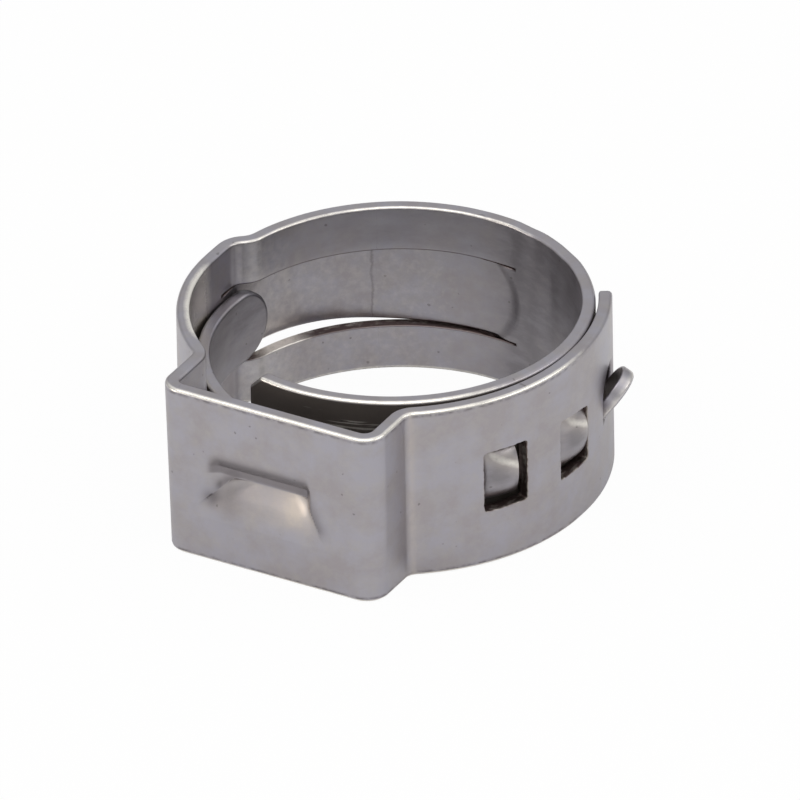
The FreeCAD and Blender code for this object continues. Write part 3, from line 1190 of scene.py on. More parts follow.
@dataclass
class PaintedLightAndWear:
    """Painted light and shade, and where the finish differs from plain satin, on the points.

    Angles are degrees round the ring or the outer layer. A pair of a crease, a ridge or the neck's
    mark is its reach and its strength. The other numbers are millimetres along the strip or up it,
    or shares of a mark's strength.
    """

    strip: StripLine
    dimple: Dimple
    hooks: list[Hook]
    flat: FlatMesh
    zones: np.ndarray
    face_lean: float = 80.0
    # Painted highlight on the flap's rim.
    rim_lean: float = 40.0
    rim_share: float = 0.55
    # Stretches where the edges get their painted highlight.
    front_angle: float = 14.0
    front_run: float = 5.0
    front_loss: float = 0.85
    back_angle: float = -12.0
    back_run: float = 5.5
    back_loss: float = 0.5
    inner_angle: float = 62.0
    inner_run: float = 3.0
    inner_share: float = 0.8
    pocket_run: float = 2.0
    # Painted shade along the dent's creases, in its groove and in spots.
    right_crease: tuple = (0.38, 0.85)
    left_crease: tuple = (0.26, 0.75)
    groove_slope: float = 2.2
    pocket_slope: float = 4.0
    # Painted warm highlight in the pocket.
    warm_highlight_least: float = 0.3
    # Painted highlight and painted warm highlight along each hook's ridge.
    ridge_foot: float = 0.3
    ridge_slope: float = 0.6
    ridge_end: float = 1.6
    ridge: tuple = (0.27, 0.66)
    ridge_warm_highlight: tuple = (0.5, 0.5)
    # Painted shade in a blotch on each hook.
    hook_shade_middle: tuple = (0.95, 0.1)
    hook_shade_size: float = 0.66
    hook_shade_least: float = 0.25
    # Painted shade on the tongue, high on the far side, in the step's creases and in the pocket.
    tongue_shade: float = 0.9
    far_shade: float = 0.5
    crease_shade: float = 0.75
    pocket_shade: float = 0.42
    # Light specks over the inner face, and a painted highlight at the step down to the ring.
    rubbed_share: float = 0.305
    # Painted warm highlight across the right neck.
    neck_mark: tuple = (0.28, 0.34)
    covered_angle: float = 33.0
    covered_flap: float = 0.6
    scratch_angle: float = 125.4
    scratch_bounds: tuple = ((1.8, 2.0), (6.8, -0.4))
    scratch_least: float = 0.05
    # Painted highlight on the lower slit's cut face near the step.
    slit_end: Mark = Mark(157.0, 1.7)
    # Painted shade bands across the ring: beside the channel's end, and high on the far side.
    sides: tuple = (Mark(58.0, 4.6), Mark(78.0, 1.1, 0.5))
    far_side: Mark = Mark(118.0, 5.0)
    # Painted highlight at the step down to the ring.
    landing: Mark = Mark(166.0, 1.9, 0.12)
    step_creases: tuple = ((1.5, 0.14), (0.2, 0.12))
    # Painted shade along the left crease and in two soft spots.
    crease_start: tuple = (-2.9, 4.3)
    shades: tuple = (Spot((-3.4, 3.45), 0.42, 0.8), Spot((-2.5, 3.5), 0.95, 0.55))
    # Where the pocket's painted warm highlight is strongest.
    warm_spot: Spot = Spot((1.25, 4.0), 0.8)
    scrape_angle: float = -77.0
    scrape_height: float = 7.5
    scrape_size: tuple = (2.6, 0.32)
    far_away: float = 9.0

    def __post_init__(self) -> None:
        """Take up the points and what several marks need."""
        strip, flat = self.strip, self.flat
        self.points = flat.points
        self.place, self.height = flat.points.T
        self.none = np.zeros(len(self.place))
        self.face = (flat.lean > self.face_lean).astype(float)
        self.on_flap = self.zones == Zone.FLAP.value
        self.tongue = self._along(strip.shoulder - 0.5, 2.5)
        self.pocket = self.dimple.pocket(self.points)
        self.in_pocket = smooth_rise(self.pocket * self.pocket_slope)
        self.warm = self.dimple.spot(self.points, self.warm_spot)
        self.raised = sum(hook.rise(self.points) for hook in self.hooks) / strip.sizes.hook_height

    def _along(self, start: float, run: float) -> np.ndarray:
        """Rise from 0 to 1 along the strip, backwards where the run is negative."""
        return smooth_rise((self.place - start) / run)

    def _up(self, start: float, run: float) -> np.ndarray:
        """Rise from 0 to 1 up the strip, downwards where the run is negative."""
        return smooth_rise((self.height - start) / run)

    def _band(self, mark: Mark) -> np.ndarray:
        """Values of a soft band across the ring."""
        return mark.strength * bell(self.place - self.strip.ring_place(mark.angle), mark.reach)

    def _edges(self) -> tuple[np.ndarray, np.ndarray, np.ndarray]:
        """Painted highlight along the tumbled edges.

        Returns:
            The highlight's shares outside and inside, and the darker band below the front edge.
        """
        strip, flat = self.strip, self.flat
        # Painted highlight on the outer layer's edges, rising towards the ear, weaker past its
        # face.
        front = self._along(strip.layer_place(self.front_angle), self.front_run)
        front *= 1.0 - self.front_loss * self._along(strip.face_end + 0.3, 1.0)
        # Darker band where the rounding of the front edges meets the face.
        dark_below_edge = front * (flat.rounding > 0.15) * self.face
        # Painted highlight on the ring's edges, weaker on the tongue.
        back = self._along(strip.ring_place(self.back_angle), self.back_run)
        back *= 1.0 - self.back_loss * self.tongue
        # Painted highlight on the inner edges, from the pocket's end round the back of the ring.
        inner = self._along(strip.pocket_end, self.pocket_run)
        inner *= self._along(strip.ring_place(self.inner_angle), -self.inner_run)
        corner = np.sin(2 * np.radians(flat.lean)) * (flat.edges_of[Edge.TUMBLED] > 0.01)
        return corner * np.maximum(front, back), self.inner_share * corner * inner, dark_below_edge

    def _dimple_marks(self) -> tuple[np.ndarray, np.ndarray]:
        """Painted shade and painted highlight on the face of the ear.

        Returns:
            Painted shade in the groove, creases and spots, and a painted warm highlight in the
            pocket.
        """
        dimple, points = self.dimple, self.points
        # Painted shade in the groove, along the creases and in soft spots on the face.
        groove = smooth_rise(dimple.groove(points) * self.groove_slope)
        groove *= 0.85 + 0.15 * self._up(dimple.ledge, 0.12)
        groove *= self._up(dimple.left_top[1] + 0.03, 0.1)
        reach, share = self.right_crease
        creases = share * dimple.beside(points, dimple.right_top, dimple.right_foot, reach)
        reach, share = self.left_crease
        creases += share * dimple.beside(points, self.crease_start, dimple.left_top, reach)
        groove += creases * (1.0 - smooth_rise(self.pocket * 2 * self.pocket_slope))
        groove += sum(dimple.spot(points, shade) for shade in self.shades)
        # Painted warm highlight in the pocket, strongest at its warm spot.
        return np.clip(groove, 0.0, 1.0), self.in_pocket * (self.warm_highlight_least + self.warm)

    def _hook_marks(self) -> tuple[np.ndarray, np.ndarray, np.ndarray]:
        """Painted light on the hooks.

        Returns:
            The painted highlight on the ridge, the painted warm highlight round it, and painted
            shade.
        """
        ridge, hook_warm_highlight, hook_shade = (np.zeros_like(self.none) for _ in range(3))
        for hook in self.hooks:
            along, up = self.place - hook.mouth, self.height - hook.middle
            slant = up - self.ridge_foot - self.ridge_slope * along
            # Painted highlight along the ridge, and a painted warm highlight round it.
            reach, share = self.ridge
            ridge += share * bell(slant, reach) * smooth_rise((self.ridge_end - along) / 0.5)
            reach, share = self.ridge_warm_highlight
            hook_warm_highlight += share * bell(slant, reach) * (hook.rise(self.points) > 0.1)
            # Painted shade in a blotch on each hook.
            away = np.hypot(along - self.hook_shade_middle[0], up - self.hook_shade_middle[1])
            hook_shade += bell(away, self.hook_shade_size)
        hook_shade = (hook_shade + self.hook_shade_least) * (self.raised > 0.05)
        return ridge * (self.raised > 0.3), hook_warm_highlight, hook_shade

    def _inner_marks(self) -> tuple[np.ndarray, np.ndarray]:
        """Painted shade and painted highlight on the inner face.

        Returns:
            Painted shade on a rougher finish, and painted highlight with light specks.
        """
        strip = self.strip
        # Painted shade on the tongue, beside the channel's end, high on the far side and in the
        # step's creases.
        tongue = self.tongue * (1.0 - 0.3 * self._up(5.2, -1.6))
        side = sum(self._band(mark) for mark in self.sides)
        past = self.place - strip.ring_start
        bends = sum(bell(past + away, size) for away, size in self.step_creases)
        far = self._up(6.4, 0.8) * self._band(self.far_side)
        shade_and_dull = self.tongue_shade * tongue + side + self.far_shade * far + self.crease_shade * bends
        shade_and_dull = np.clip(shade_and_dull, 0.0, 1.0)
        # Light specks over the inner face, and a painted highlight at the step down to the ring.
        highlight_area = self._along(strip.pocket_end, self.pocket_run) * (1.0 - tongue)
        highlight_area *= np.clip(1.0 - side, 0.0, 1.0)
        rubbed = (self.rubbed_share + self._band(self.landing)) * highlight_area * (1.0 - far)
        # Painted highlight on the inner face of the outer layer, from the left neck to the pocket's
        # end.
        wall = self._along(strip.pocket_end - 0.2, -2.2) * self._along(strip.neck_end, 1.5)
        return shade_and_dull * self.face, wall + rubbed * self.face

    def _lines(self) -> tuple[np.ndarray, np.ndarray]:
        """Fine lines.

        Returns:
            The distance from the scratch across the ring, and where the ear scraped it.
        """
        low, high = self.scratch_bounds
        reach = self._up(*low) * self._up(*high) + self.scratch_least
        scratch = (self.place - self.strip.ring_place(self.scratch_angle)) / reach
        along = (self.place - self.strip.ring_place(self.scrape_angle)) / self.scrape_size[0]
        up = (self.height - self.scrape_height) / self.scrape_size[1]
        return scratch, np.exp(-along ** 4 - up ** 2)

    def values(self) -> dict[str, np.ndarray]:
        """All marks by name.

        Returns:
            Values of the outer points and then of the inner ones, from 0 to about 1. Only "scratch"
            is a distance, in millimetres.
        """
        outer_edge, inner_edge, dark_below_edge = self._edges()
        groove, warm_highlight = self._dimple_marks()
        ridge, hook_warm_highlight, hook_shade = self._hook_marks()
        shade_and_dull, rubbed = self._inner_marks()
        scratch, scraped = self._lines()
        cut = self.flat.edges_of[Edge.SHEARED]
        # Painted highlight on the lower slit's cut face near the step.
        slit = (cut > 0.4) * (self.height < self.strip.sizes.middle) * self._band(self.slit_end)
        # Painted warm highlight across the right neck.
        reach, share = self.neck_mark
        neck = share * bell(self.place - self.strip.neck_start - 0.3, reach)
        # Painted highlight on the flap's rim.
        flap_rim = self.rim_share * self.on_flap * (self.flat.lean < self.rim_lean)
        covered = self._along(self.strip.ring_place(self.covered_angle), 0.5)
        covered *= 1.0 - smooth_rise(self.raised * 4)
        # Painted shade over the pocket, except at its warm highlight.
        shade_in_pocket = self.pocket_shade * self.in_pocket * (1.0 - self.warm)
        marks = {
            # Painted highlights on the edges, the slit, the hooks' ridges, the flap's rim and the
            # inner face.
            "corner": (outer_edge + slit + ridge + flap_rim, inner_edge + slit + rubbed),
            # Painted shade in the ear's dent.
            "groove": (groove, self.none),
            # Painted warm highlights in the pocket, at the neck and on the hooks.
            "warm_highlight": (warm_highlight + neck + hook_warm_highlight, self.none),
            "covered": (covered * self.face, self.covered_flap * self.on_flap * self.face),
            # Painted shade on the hooks, the pocket and the inner face, on a rougher finish.
            "shade_and_dull": (hook_shade + shade_in_pocket, shade_and_dull),
            "scratch": (self.none + self.far_away, scratch),
            "scraped": (scraped, self.none),
            # Darker band below the front edges.
            "dark_below_edge": (dark_below_edge, self.none),
            "cut": (cut, cut),
        }
        return {name: np.concatenate(pair) for name, pair in marks.items()}


@dataclass
class ClampBand:
    """The whole clamp: the strip with its cut lines and formed parts, bent and dressed."""

    sizes: StripSizes = field(default_factory=StripSizes)
    edge_round: float = 0.2
    inner_round: float = 0.5
    swollen: float = 1.1
    ear_swollen: float = 0.1
    ripple: float = 0.022
    ripple_middle: float = 1.5
    ripple_reach: float = 3.2
    ripple_start: float = 2.0
    ripple_end: float = 4.0
    near_waves: tuple = (Wave(1.0, 2.3, 0.35), Wave(0.5, 4.1, -0.5))
    slow_waves: tuple = (Wave(0.16, 0.9, 0.5), Wave(0.12, 1.7, -0.8))
    twist: float = 0.2
    tongue_width: float = 3.7
    tongue_foot: float = 0.12
    tip_flat: float = 0.03
    shoulder_chamfer: float = 0.75
    shoulder_corner: float = 0.28
    end_corner: float = 0.25
    neck_out: float = 1.0
    window_pitch: float = 26.0
    first_window: float = -30.5
    hook_pitch: float = 28.2
    hook_clearance: float = 0.08
    hook_count: int = 2
    window_slant: float = 0.28
    flap_centre: float = 3.75
    nudge: float = 2e-3

    def __post_init__(self) -> None:
        """Place the formed parts along the strip."""
        sizes = self.sizes
        self.strip = StripLine(sizes)
        self.channel = Channel(self.strip)
        self.draw = FlatDraughtsman(self.strip.line.columns())
        self.windows = []
        self.hooks = []
        for number in range(self.hook_count):
            place = self.strip.layer_place(self.first_window + number * self.window_pitch)
            window = Window(place, self.window_slant * number)
            self.windows.append(window)
            place = self.strip.ring_place(self.first_window + number * self.hook_pitch)
            ear_side = place + window.length / 2 - self.hook_clearance
            mouth = ear_side - Hook.length
            self.hooks.append(Hook(mouth, sizes.hook_height, sizes.middle))
        flare = math.asin(self.flap_centre / sizes.flare_radius)
        free_end = math.radians(sizes.layer_radius * sizes.free_end_angle / sizes.flare_radius)
        self.flap = Flap(sizes.flare_radius * (free_end - flare))
        self.dimple = Dimple(self.strip.face_middle)

    def outline(self) -> CutLine:
        """Outer edge of the flat strip, with the tongue at its end.

        Returns:
            The closed cut line.
        """
        sizes = self.sizes
        shoulder, tip = self.strip.shoulder, self.strip.line.length
        low = sizes.middle - self.tongue_width / 2
        high = sizes.middle + self.tongue_width / 2
        cut = self.shoulder_chamfer
        tip_round = self.tongue_width / 2 - self.tip_flat
        corners = [
            (0.0, 0.0, self.end_corner),
            (shoulder - cut, 0.0, self.shoulder_corner),
            (shoulder, cut, self.shoulder_corner),
            (shoulder, low, self.tongue_foot),
            (tip, low, tip_round),
            (tip, high, tip_round),
            (shoulder, high, self.tongue_foot),
            (shoulder, sizes.width - cut, self.shoulder_corner),
            (shoulder - cut, sizes.width, self.shoulder_corner),
            (0.0, sizes.width, self.end_corner),
        ]
        points = self.draw.outline(corners, BendLine.widest_step)
        return CutLine(points, self.edge_round, Edge.TUMBLED)

    def flat_mesh(self) -> FlatMesh:
        """Cut out and triangulate the flat strip.

        Returns:
            The flat mesh with all its cut lines.
        """
        flat = FlatStrip(self.strip.line.columns(), self.sizes.width)
        flat.cuts.append(self.outline())
        for window in self.windows:
            flat.cuts.extend(window.cuts(self.draw, self.sizes.middle))
        for hook in self.hooks:
            flat.cuts.extend(hook.cuts(self.draw))
            flat.dense.append(hook.dense_area())
        flat.cuts.extend(self.flap.cuts())
        flat.cuts.extend(self.channel.cuts(self.draw))
        for part in (self.flap, self.channel, self.dimple):
            flat.dense.append(part.dense_area())
        return flat.mesh()

    def zones(self, points: np.ndarray) -> np.ndarray:
        """Zones of the flat strip.

        Args:
            points: points of the flat strip.

        Returns:
            The zone's number for each point.
        """
        found = np.full(len(points), Zone.BAND.value)
        found[self.channel.holds(points)] = Zone.PANEL.value
        found[self.flap.holds(points)] = Zone.FLAP.value
        return found

    def bend(self, points: np.ndarray, depth: np.ndarray, zones: np.ndarray) -> np.ndarray:
        """Bend points of the flat strip into their place on the clamp.

        Args:
            points: points of the flat strip.
            depth: depths from the middle plane, positive outwards.
            zones: the zone that each point follows.

        Returns:
            The bent points.
        """
        place, height = points[:, 0], points[:, 1].copy()
        strip, sizes = self.strip, self.sizes
        inner = smooth_rise((place - strip.pocket_end) / (strip.ring_start - strip.pocket_end))
        ear = smooth_rise(place - strip.neck_start) * smooth_rise(strip.neck_end - place)
        inward = self.ear_swollen * sizes.thickness * ear * (0.5 - depth / sizes.thickness)
        shift = (2 * inner - 1) * (self.swollen - 1) * sizes.half
        depth = depth * self.swollen + shift - inward
        depth += self._ripples(place, height)
        middle, left = strip.line.at(place)
        panel = zones == Zone.PANEL.value
        middle[panel], left[panel] = self.channel.at(place[panel])
        flap = zones == Zone.FLAP.value
        height[flap], depth[flap] = self.flap.fold(height[flap], depth[flap])
        flat = ~flap
        for part in (*self.hooks, self.dimple, self.channel):
            depth[flat] += part.rise(points[flat])
        bent = np.column_stack([middle + left * depth[:, None], height])
        corner = smooth_rise((place - strip.face_middle) / (strip.face_end - strip.face_middle))
        leg = strip.neck_end - strip.face_end - self.neck_out
        corner *= smooth_rise((strip.neck_end - place) / leg)
        bent[:, 0] += self.twist * corner * (1.0 - height / sizes.width)
        return bent

    def _ripples(self, place: np.ndarray, height: np.ndarray) -> np.ndarray:
        """Slight waves that the forming left in the ring, strongest where the channel ends.

        Args:
            place: places along the strip.
            height: heights on it.

        Returns:
            How far the waves lift each point.
        """
        past = place - self.channel.end
        near = bell(past - self.ripple_middle, self.ripple_reach)
        waves = sum(wave.at(past, height) for wave in self.near_waves)
        slow = sum(wave.at(place, height) for wave in self.slow_waves)
        ring = smooth_rise((place - self.strip.ring_start) / self.ripple_start)
        ring *= smooth_rise((self.strip.shoulder - place) / self.ripple_end)
        return self.ripple * ring * (near * waves + slow)

    def build(self) -> bpy.types.Object:
        """Make the mesh of the clamp.

        Returns:
            The clamp with exact normals, and as attributes its flat places, marks and painted
            light.
        """
        flat = self.flat_mesh()
        zones = self.zones(flat.points)
        count = len(flat.points)
        cut_back = flat.rounding * (1 - np.sin(np.radians(flat.lean)))
        depth = self.sizes.half - cut_back
        depths = (depth, cut_back * self.inner_round - self.sizes.half)
        vertices = np.concatenate([self.bend(flat.points, each, zones) for each in depths]) * MM
        sides = zip(depths, (1.0, -1.0))
        normals = np.concatenate([self._normals(flat, each, zones, side) for each, side in sides])
        faces = [*flat.triangles[:, ::-1], *(flat.triangles + count)]
        for rim in flat.rims:
            after = np.roll(rim, -1)
            faces.extend(np.stack([rim, after, after + count, rim + count], axis=1))
        polygons = [tuple(face) for face in faces]
        mesh = bpy.data.meshes.new("ear_clamp_strip")
        mesh.from_pydata(vertices.tolist(), [], polygons)
        mesh.polygons.foreach_set("use_smooth", np.ones(len(mesh.polygons), bool))
        places = [np.column_stack([flat.points, side * depth]) for side in (1, -1)]
        self._keep(mesh, "flat_place", "FLOAT_VECTOR", np.concatenate(places))
        light_and_wear = PaintedLightAndWear(self.strip, self.dimple, self.hooks, flat, zones)
        for name, values in light_and_wear.values().items():
            self._keep(mesh, name, "FLOAT", values)
        mesh.update()
        mesh.normals_split_custom_set_from_vertices(normals.tolist())
        return placed("ear_clamp_strip", mesh)

    def _keep(self, mesh: bpy.types.Mesh, name: str, kind: str, values: np.ndarray) -> None:
        """Store values of the mesh's points.

        Args:
            mesh: the mesh.
            name: name of the attribute that holds them.
            kind: its data type.
            values: one row for each point.
        """
        attribute = mesh.attributes.new(name, kind, "POINT")
        key = "vector" if kind == "FLOAT_VECTOR" else "value"
        attribute.data.foreach_set(key, values.astype(np.float32).ravel())

    def _normals(
        self, flat: FlatMesh, depth: np.ndarray, zones: np.ndarray, side: float
    ) -> np.ndarray:
        """Exact normals of one face of the strip, turned outwards over its rounded edges.

        Args:
            flat: the flat strip.
            depth: depths of its points from the middle plane.
            zones: the zone that each point follows.
            side: 1 for the outer face and -1 for the inner one.

        Returns:
            The unit normals.
        """
        slopes = []
        for step in np.eye(2) * self.nudge:
            ahead = self.bend(flat.points + step, depth, zones)
            behind = self.bend(flat.points - step, depth, zones)
            slopes.append((ahead - behind) / (2 * self.nudge))
        face = np.cross(slopes[1], slopes[0])
        face /= np.linalg.norm(face, axis=1)[:, None]
        edge = slopes[0] * flat.outward[:, :1] + slopes[1] * flat.outward[:, 1:]
        length = np.linalg.norm(edge, axis=1)[:, None]
        edge = np.divide(edge, length, out=np.zeros_like(edge), where=length > 0)
        lean = np.radians(flat.lean)[:, None]
        return side * face * np.sin(lean) + edge * np.cos(lean)


class Link:
    """Socket of a shader node, with the operators that shader maths needs."""

    def __init__(self, shader: "NodeMaker", socket: bpy.types.NodeSocket) -> None:
        """Keep the shader that the socket belongs to."""
        self.shader = shader
        self.socket = socket

    def _maths(self, operation: str, first: "Link | float", second: "Link | float") -> "Link":
        """One Math node."""
        return self.shader.node("ShaderNodeMath", {"operation": operation}, {0: first, 1: second})

    def __add__(self, other: "Link | float") -> "Link":
        """Sum."""
        return self._maths("ADD", self, other)

    def __radd__(self, other: float) -> "Link":
        """Sum with a number in front."""
        return self._maths("ADD", other, self)

    def __sub__(self, other: "Link | float") -> "Link":
        """Difference."""
        return self._maths("SUBTRACT", self, other)

    def __rsub__(self, other: float) -> "Link":
        """Difference with a number in front."""
        return self._maths("SUBTRACT", other, self)

    def __mul__(self, other: "Link | float") -> "Link":
        """Product."""
        return self._maths("MULTIPLY", self, other)

    def between(self, low: float, high: float) -> "Link":
        """Rise from 0 to 1 while the value goes from low to high."""
        values = {"Value": self, "From Min": low, "From Max": high}
        return self.shader.node("ShaderNodeMapRange", {"clamp": True}, values)


class NodeMaker:
    """Node tree of a material or of the world, with one method that adds any node."""

    def __init__(self, tree: bpy.types.NodeTree) -> None:
        """Start with an empty tree."""
        self.tree = tree
        self.tree.nodes.clear()

    def node(self, kind: str, settings: dict, values: dict, output: int | str = 0) -> Link:
        """Add a node.

        Args:
            kind: the node's type.
            settings: its settings, set first.
            values: values or links of its sockets, by name or number.
            output: the output that is wanted.

        Returns:
            That output, ready for shader maths.
        """
        made = self.tree.nodes.new(kind)
        for name, value in settings.items():
            setattr(made, name, value)
        for name, value in values.items():
            if isinstance(value, Link):
                self.tree.links.new(value.socket, made.inputs[name])
            else:
                made.inputs[name].default_value = value
        return Link(self, made.outputs[output])

    def ray(self, kind: str) -> Link:
        """Whether a ray is of one kind, such as Camera or Glossy."""
        return self.node("ShaderNodeLightPath", {}, {}, f"Is {kind} Ray")

    def output(self, kind: str, surface: Link) -> None:
        """Add the output node of the tree."""
        made = self.tree.nodes.new(kind)
        self.tree.links.new(surface.socket, made.inputs["Surface"])


@dataclass(frozen=True)
class Texture:
    """Noise in the finish, and what it does.

    It shows between two of its values, with some strength, and changes the relief and the sheen.
    """

    scale: float
    detail: float
    roughness: float = 0.5
    stretch: tuple[float, float, float] | None = None
    shows: tuple[float, float] = (0.0, 1.0)
    strength: float = 1.0
    relief: float = 0.0
    sheen: float = 0.0


class Shader(NodeMaker):
    """Node tree of one material, with the textures of metal."""

    def __init__(self, name: str) -> None:
        """Start a material with an empty tree.

        Args:
            name: the material's name.
        """
        self.material = bpy.data.materials.new(name)
        self.material.use_nodes = True
        super().__init__(self.material.node_tree)

    def attribute(self, name: str, output: str = "Fac") -> Link:
        """Value of a mesh attribute."""
        return self.node("ShaderNodeAttribute", {"attribute_name": name}, {}, output)

    def noise(self, where: Link, texture: Texture) -> Link:
        """Noise at a place.

        Args:
            where: the place.
            texture: how the noise looks.

        Returns:
            The noise, from 0 to 1.
        """
        if texture.stretch:
            axes = {0: where, 1: texture.stretch}
            where = self.node("ShaderNodeVectorMath", {"operation": "MULTIPLY"}, axes)
        values = {"Vector": where, "Scale": texture.scale}
        values |= {"Detail": texture.detail, "Roughness": texture.roughness}
        return self.node("ShaderNodeTexNoise", {"noise_dimensions": "3D"}, values)

    def blend(self, factor: Link | float, first: Link | tuple, second: Link | tuple) -> Link:
        """Mix of two colours."""
        settings = {"data_type": "RGBA"}
        return self.node("ShaderNodeMix", settings, {0: factor, 6: first, 7: second}, 2)

    def finish(self, surface: Link) -> bpy.types.Material:
        """Use a shader as the material's surface."""
        self.output("ShaderNodeOutputMaterial", surface)
        return self.material


@dataclass(frozen=True)
class TumbledSteel:
    """Tumbled stainless strip: satin faces, darker sheared edges, painted highlights and painted
    shade.
    """

    face: tuple = (0.418, 0.408, 0.458, 1.0)
    cloud: tuple = (0.385, 0.360, 0.378, 1.0)
    worn: tuple = (0.45, 0.43, 0.418, 1.0)
    # Painted highlight, and light scrapes.
    highlight_and_scrape: tuple = (0.92, 0.89, 0.83, 1.0)
    sheared: tuple = (0.13, 0.095, 0.09, 1.0)
    burnished: tuple = (0.36, 0.33, 0.30, 1.0)
    # Painted shade in the dent, and dark scratches and lines.
    shade_and_dark_lines: tuple = (0.17, 0.155, 0.165, 1.0)
    brown: tuple = (0.30, 0.265, 0.24, 1.0)
    # Painted shade.
    shade_and_dull: tuple = (0.26, 0.248, 0.265, 1.0)
    # Painted warm highlight.
    warm_highlight: tuple = (0.60, 0.54, 0.49, 1.0)
    speck: tuple = (0.12, 0.11, 0.105, 1.0)
    roughness: float = 0.33
    corner_roughness: float = 0.25
    covered_roughness: float = 0.5
    relief: float = 0.4
    relief_depth: float = 0.012
    clouds: Texture = Texture(0.45, 5.0, 0.65, shows=(0.4, 0.6), sheen=0.12)
    mottle: Texture = Texture(1.6, 4.0, 0.7, shows=(0.45, 0.8), strength=0.7)
    chips: Texture = Texture(2.6, 3.0, 0.7, shows=(0.4, 0.62), strength=0.85)
    specks: Texture = Texture(3.4, 0.0, shows=(0.82, 0.86), strength=0.5)
    dents: Texture = Texture(9.0, 2.0, relief=0.5)
    fine: Texture = Texture(34.0, 2.0, shows=(0.45, 0.85), strength=0.4, relief=0.6)
    grain: Texture = Texture(1.0, 3.0, stretch=(6.0, 40.0, 1.0), relief=0.25, sheen=0.08)
    patchy_shade: Texture = Texture(1.0, 5.0, 0.65, (0.7, 1.9, 1.0), (0.35, 0.68), 0.6)
    scrapes: Texture = Texture(1.0, 2.0, stretch=(0.35, 7.0, 1.0), shows=(0.70, 0.74))
    tears: Texture = Texture(1.0, 3.0, stretch=(2.2, 2.2, 7.0), shows=(0.5, 0.72))
    cut_shows: tuple[float, float] = (0.15, 0.8)
    highlight_shows: tuple[float, float] = (0.3, 0.95)
    scratch_half: float = 0.1
    scratch_wander: float = 0.35
    scratch_strength: float = 1.1
    scraped_share: float = 0.19
    groove_shade_strength: float = 0.8
    tear_depth: float = 0.5
    shade_least: float = 0.6
    warm_highlight_least: float = 0.4
    highlight_least: float = 0.55
    cut_sheen: float = 0.1
    dull_sheen: float = 0.07
    dull_relief: float = 0.6

    def material(self) -> bpy.types.Material:
        """Build the finish as a node material.

        Returns:
            The material, which reads the strip's flat places, marks and painted light and shade.
        """
        shader = Shader("tumbled_steel")
        place = shader.attribute("flat_place", "Vector")
        cut, covered, shade_and_dull = (shader.attribute(name) for name in ("cut", "covered", "shade_and_dull"))
        clouds = shader.noise(place, self.clouds)
        mottle = shader.noise(place, self.mottle)
        chips = shader.noise(place, self.chips)
        dents = shader.noise(place, self.dents)
        fine = shader.noise(place, self.fine)
        grain = shader.noise(place, self.grain)

        rubbed = mottle.between(*self.mottle.shows) * self.mottle.strength
        pits = (1.0 - fine).between(*self.fine.shows) * self.fine.strength
        # Patches in the painted shade.
        patchy_shade = shader.noise(place, self.patchy_shade).between(*self.patchy_shade.shows)
        away = shader.attribute("scratch") + (mottle - 0.5) * self.scratch_wander
        before, after = away.between(-self.scratch_half, 0.0), away.between(0.0, self.scratch_half)
        scratch = before * (1.0 - after) * chips * self.scratch_strength
        scraped = shader.attribute("scraped") * self.scraped_share
        scraped = (shader.noise(place, self.scrapes) + scraped).between(*self.scrapes.shows)
        # Darker band below the front edges.
        below_edge_dark = shader.attribute("dark_below_edge") * chips.between(*self.chips.shows)
        # Painted warm highlight.
        warm_highlight = shader.attribute("warm_highlight") * (self.warm_highlight_least + mottle)
        specks = shader.noise(place, self.specks).between(*self.specks.shows)
        deep = shader.node("ShaderNodeSeparateXYZ", {}, {"Vector": place}, "Z")
        torn = shader.noise(place, self.tears) + deep * self.tear_depth
        sheared = shader.blend(torn.between(*self.tears.shows), self.sheared, self.burnished)
        # Painted highlight on edges, slit, ridges, rim and inner face; it also lowers the
        # roughness.
        painted_highlight = shader.attribute("corner") * (self.highlight_least + chips)
        painted_highlight = painted_highlight.between(*self.highlight_shows)
        layers = (
            (clouds.between(*self.clouds.shows), self.face),
            (rubbed, self.worn),
            (pits, self.cloud),
            # Painted shade in patches, on a rougher finish.
            (shade_and_dull * (self.shade_least + patchy_shade * self.patchy_shade.strength), self.shade_and_dull),
            (scratch, self.shade_and_dark_lines),
            (covered, self.brown),
            (scraped * covered, self.highlight_and_scrape),
            # Darker band below the front edges.
            (below_edge_dark * self.chips.strength, self.shade_and_dark_lines),
            # Painted warm highlight.
            (warm_highlight, self.warm_highlight),
            (specks * self.specks.strength, self.speck),
            # Painted shade in the ear's dent.
            (shader.attribute("groove") * self.groove_shade_strength, self.shade_and_dark_lines),
            (cut.between(*self.cut_shows), sheared),
            # Painted highlight.
            (painted_highlight, self.highlight_and_scrape),
        )
        colour: Link | tuple = self.cloud
        for share, paint in layers:
            colour = shader.blend(share, colour, paint)
        rough = self.roughness + (clouds - 0.5) * self.clouds.sheen
        rough = rough + (grain - 0.5) * self.grain.sheen
        rough = rough + covered * (self.covered_roughness - self.roughness)
        rough = rough + cut * self.cut_sheen + shade_and_dull * self.dull_sheen
        rough = rough - painted_highlight * (self.roughness - self.corner_roughness)
        dented = dents * (self.dents.relief + shade_and_dull * self.dull_relief)
        relief = grain * self.grain.relief + dented + fine * self.fine.relief
        bumps = {"Strength": self.relief, "Distance": self.relief_depth * MM, "Height": relief}
        values = {
            "Base Color": colour,
            "Metallic": 1.0,
            "Roughness": rough,
            "Normal": shader.node("ShaderNodeBump", {}, bumps),
        }
        return shader.finish(shader.node("ShaderNodeBsdfPrincipled", {}, values))


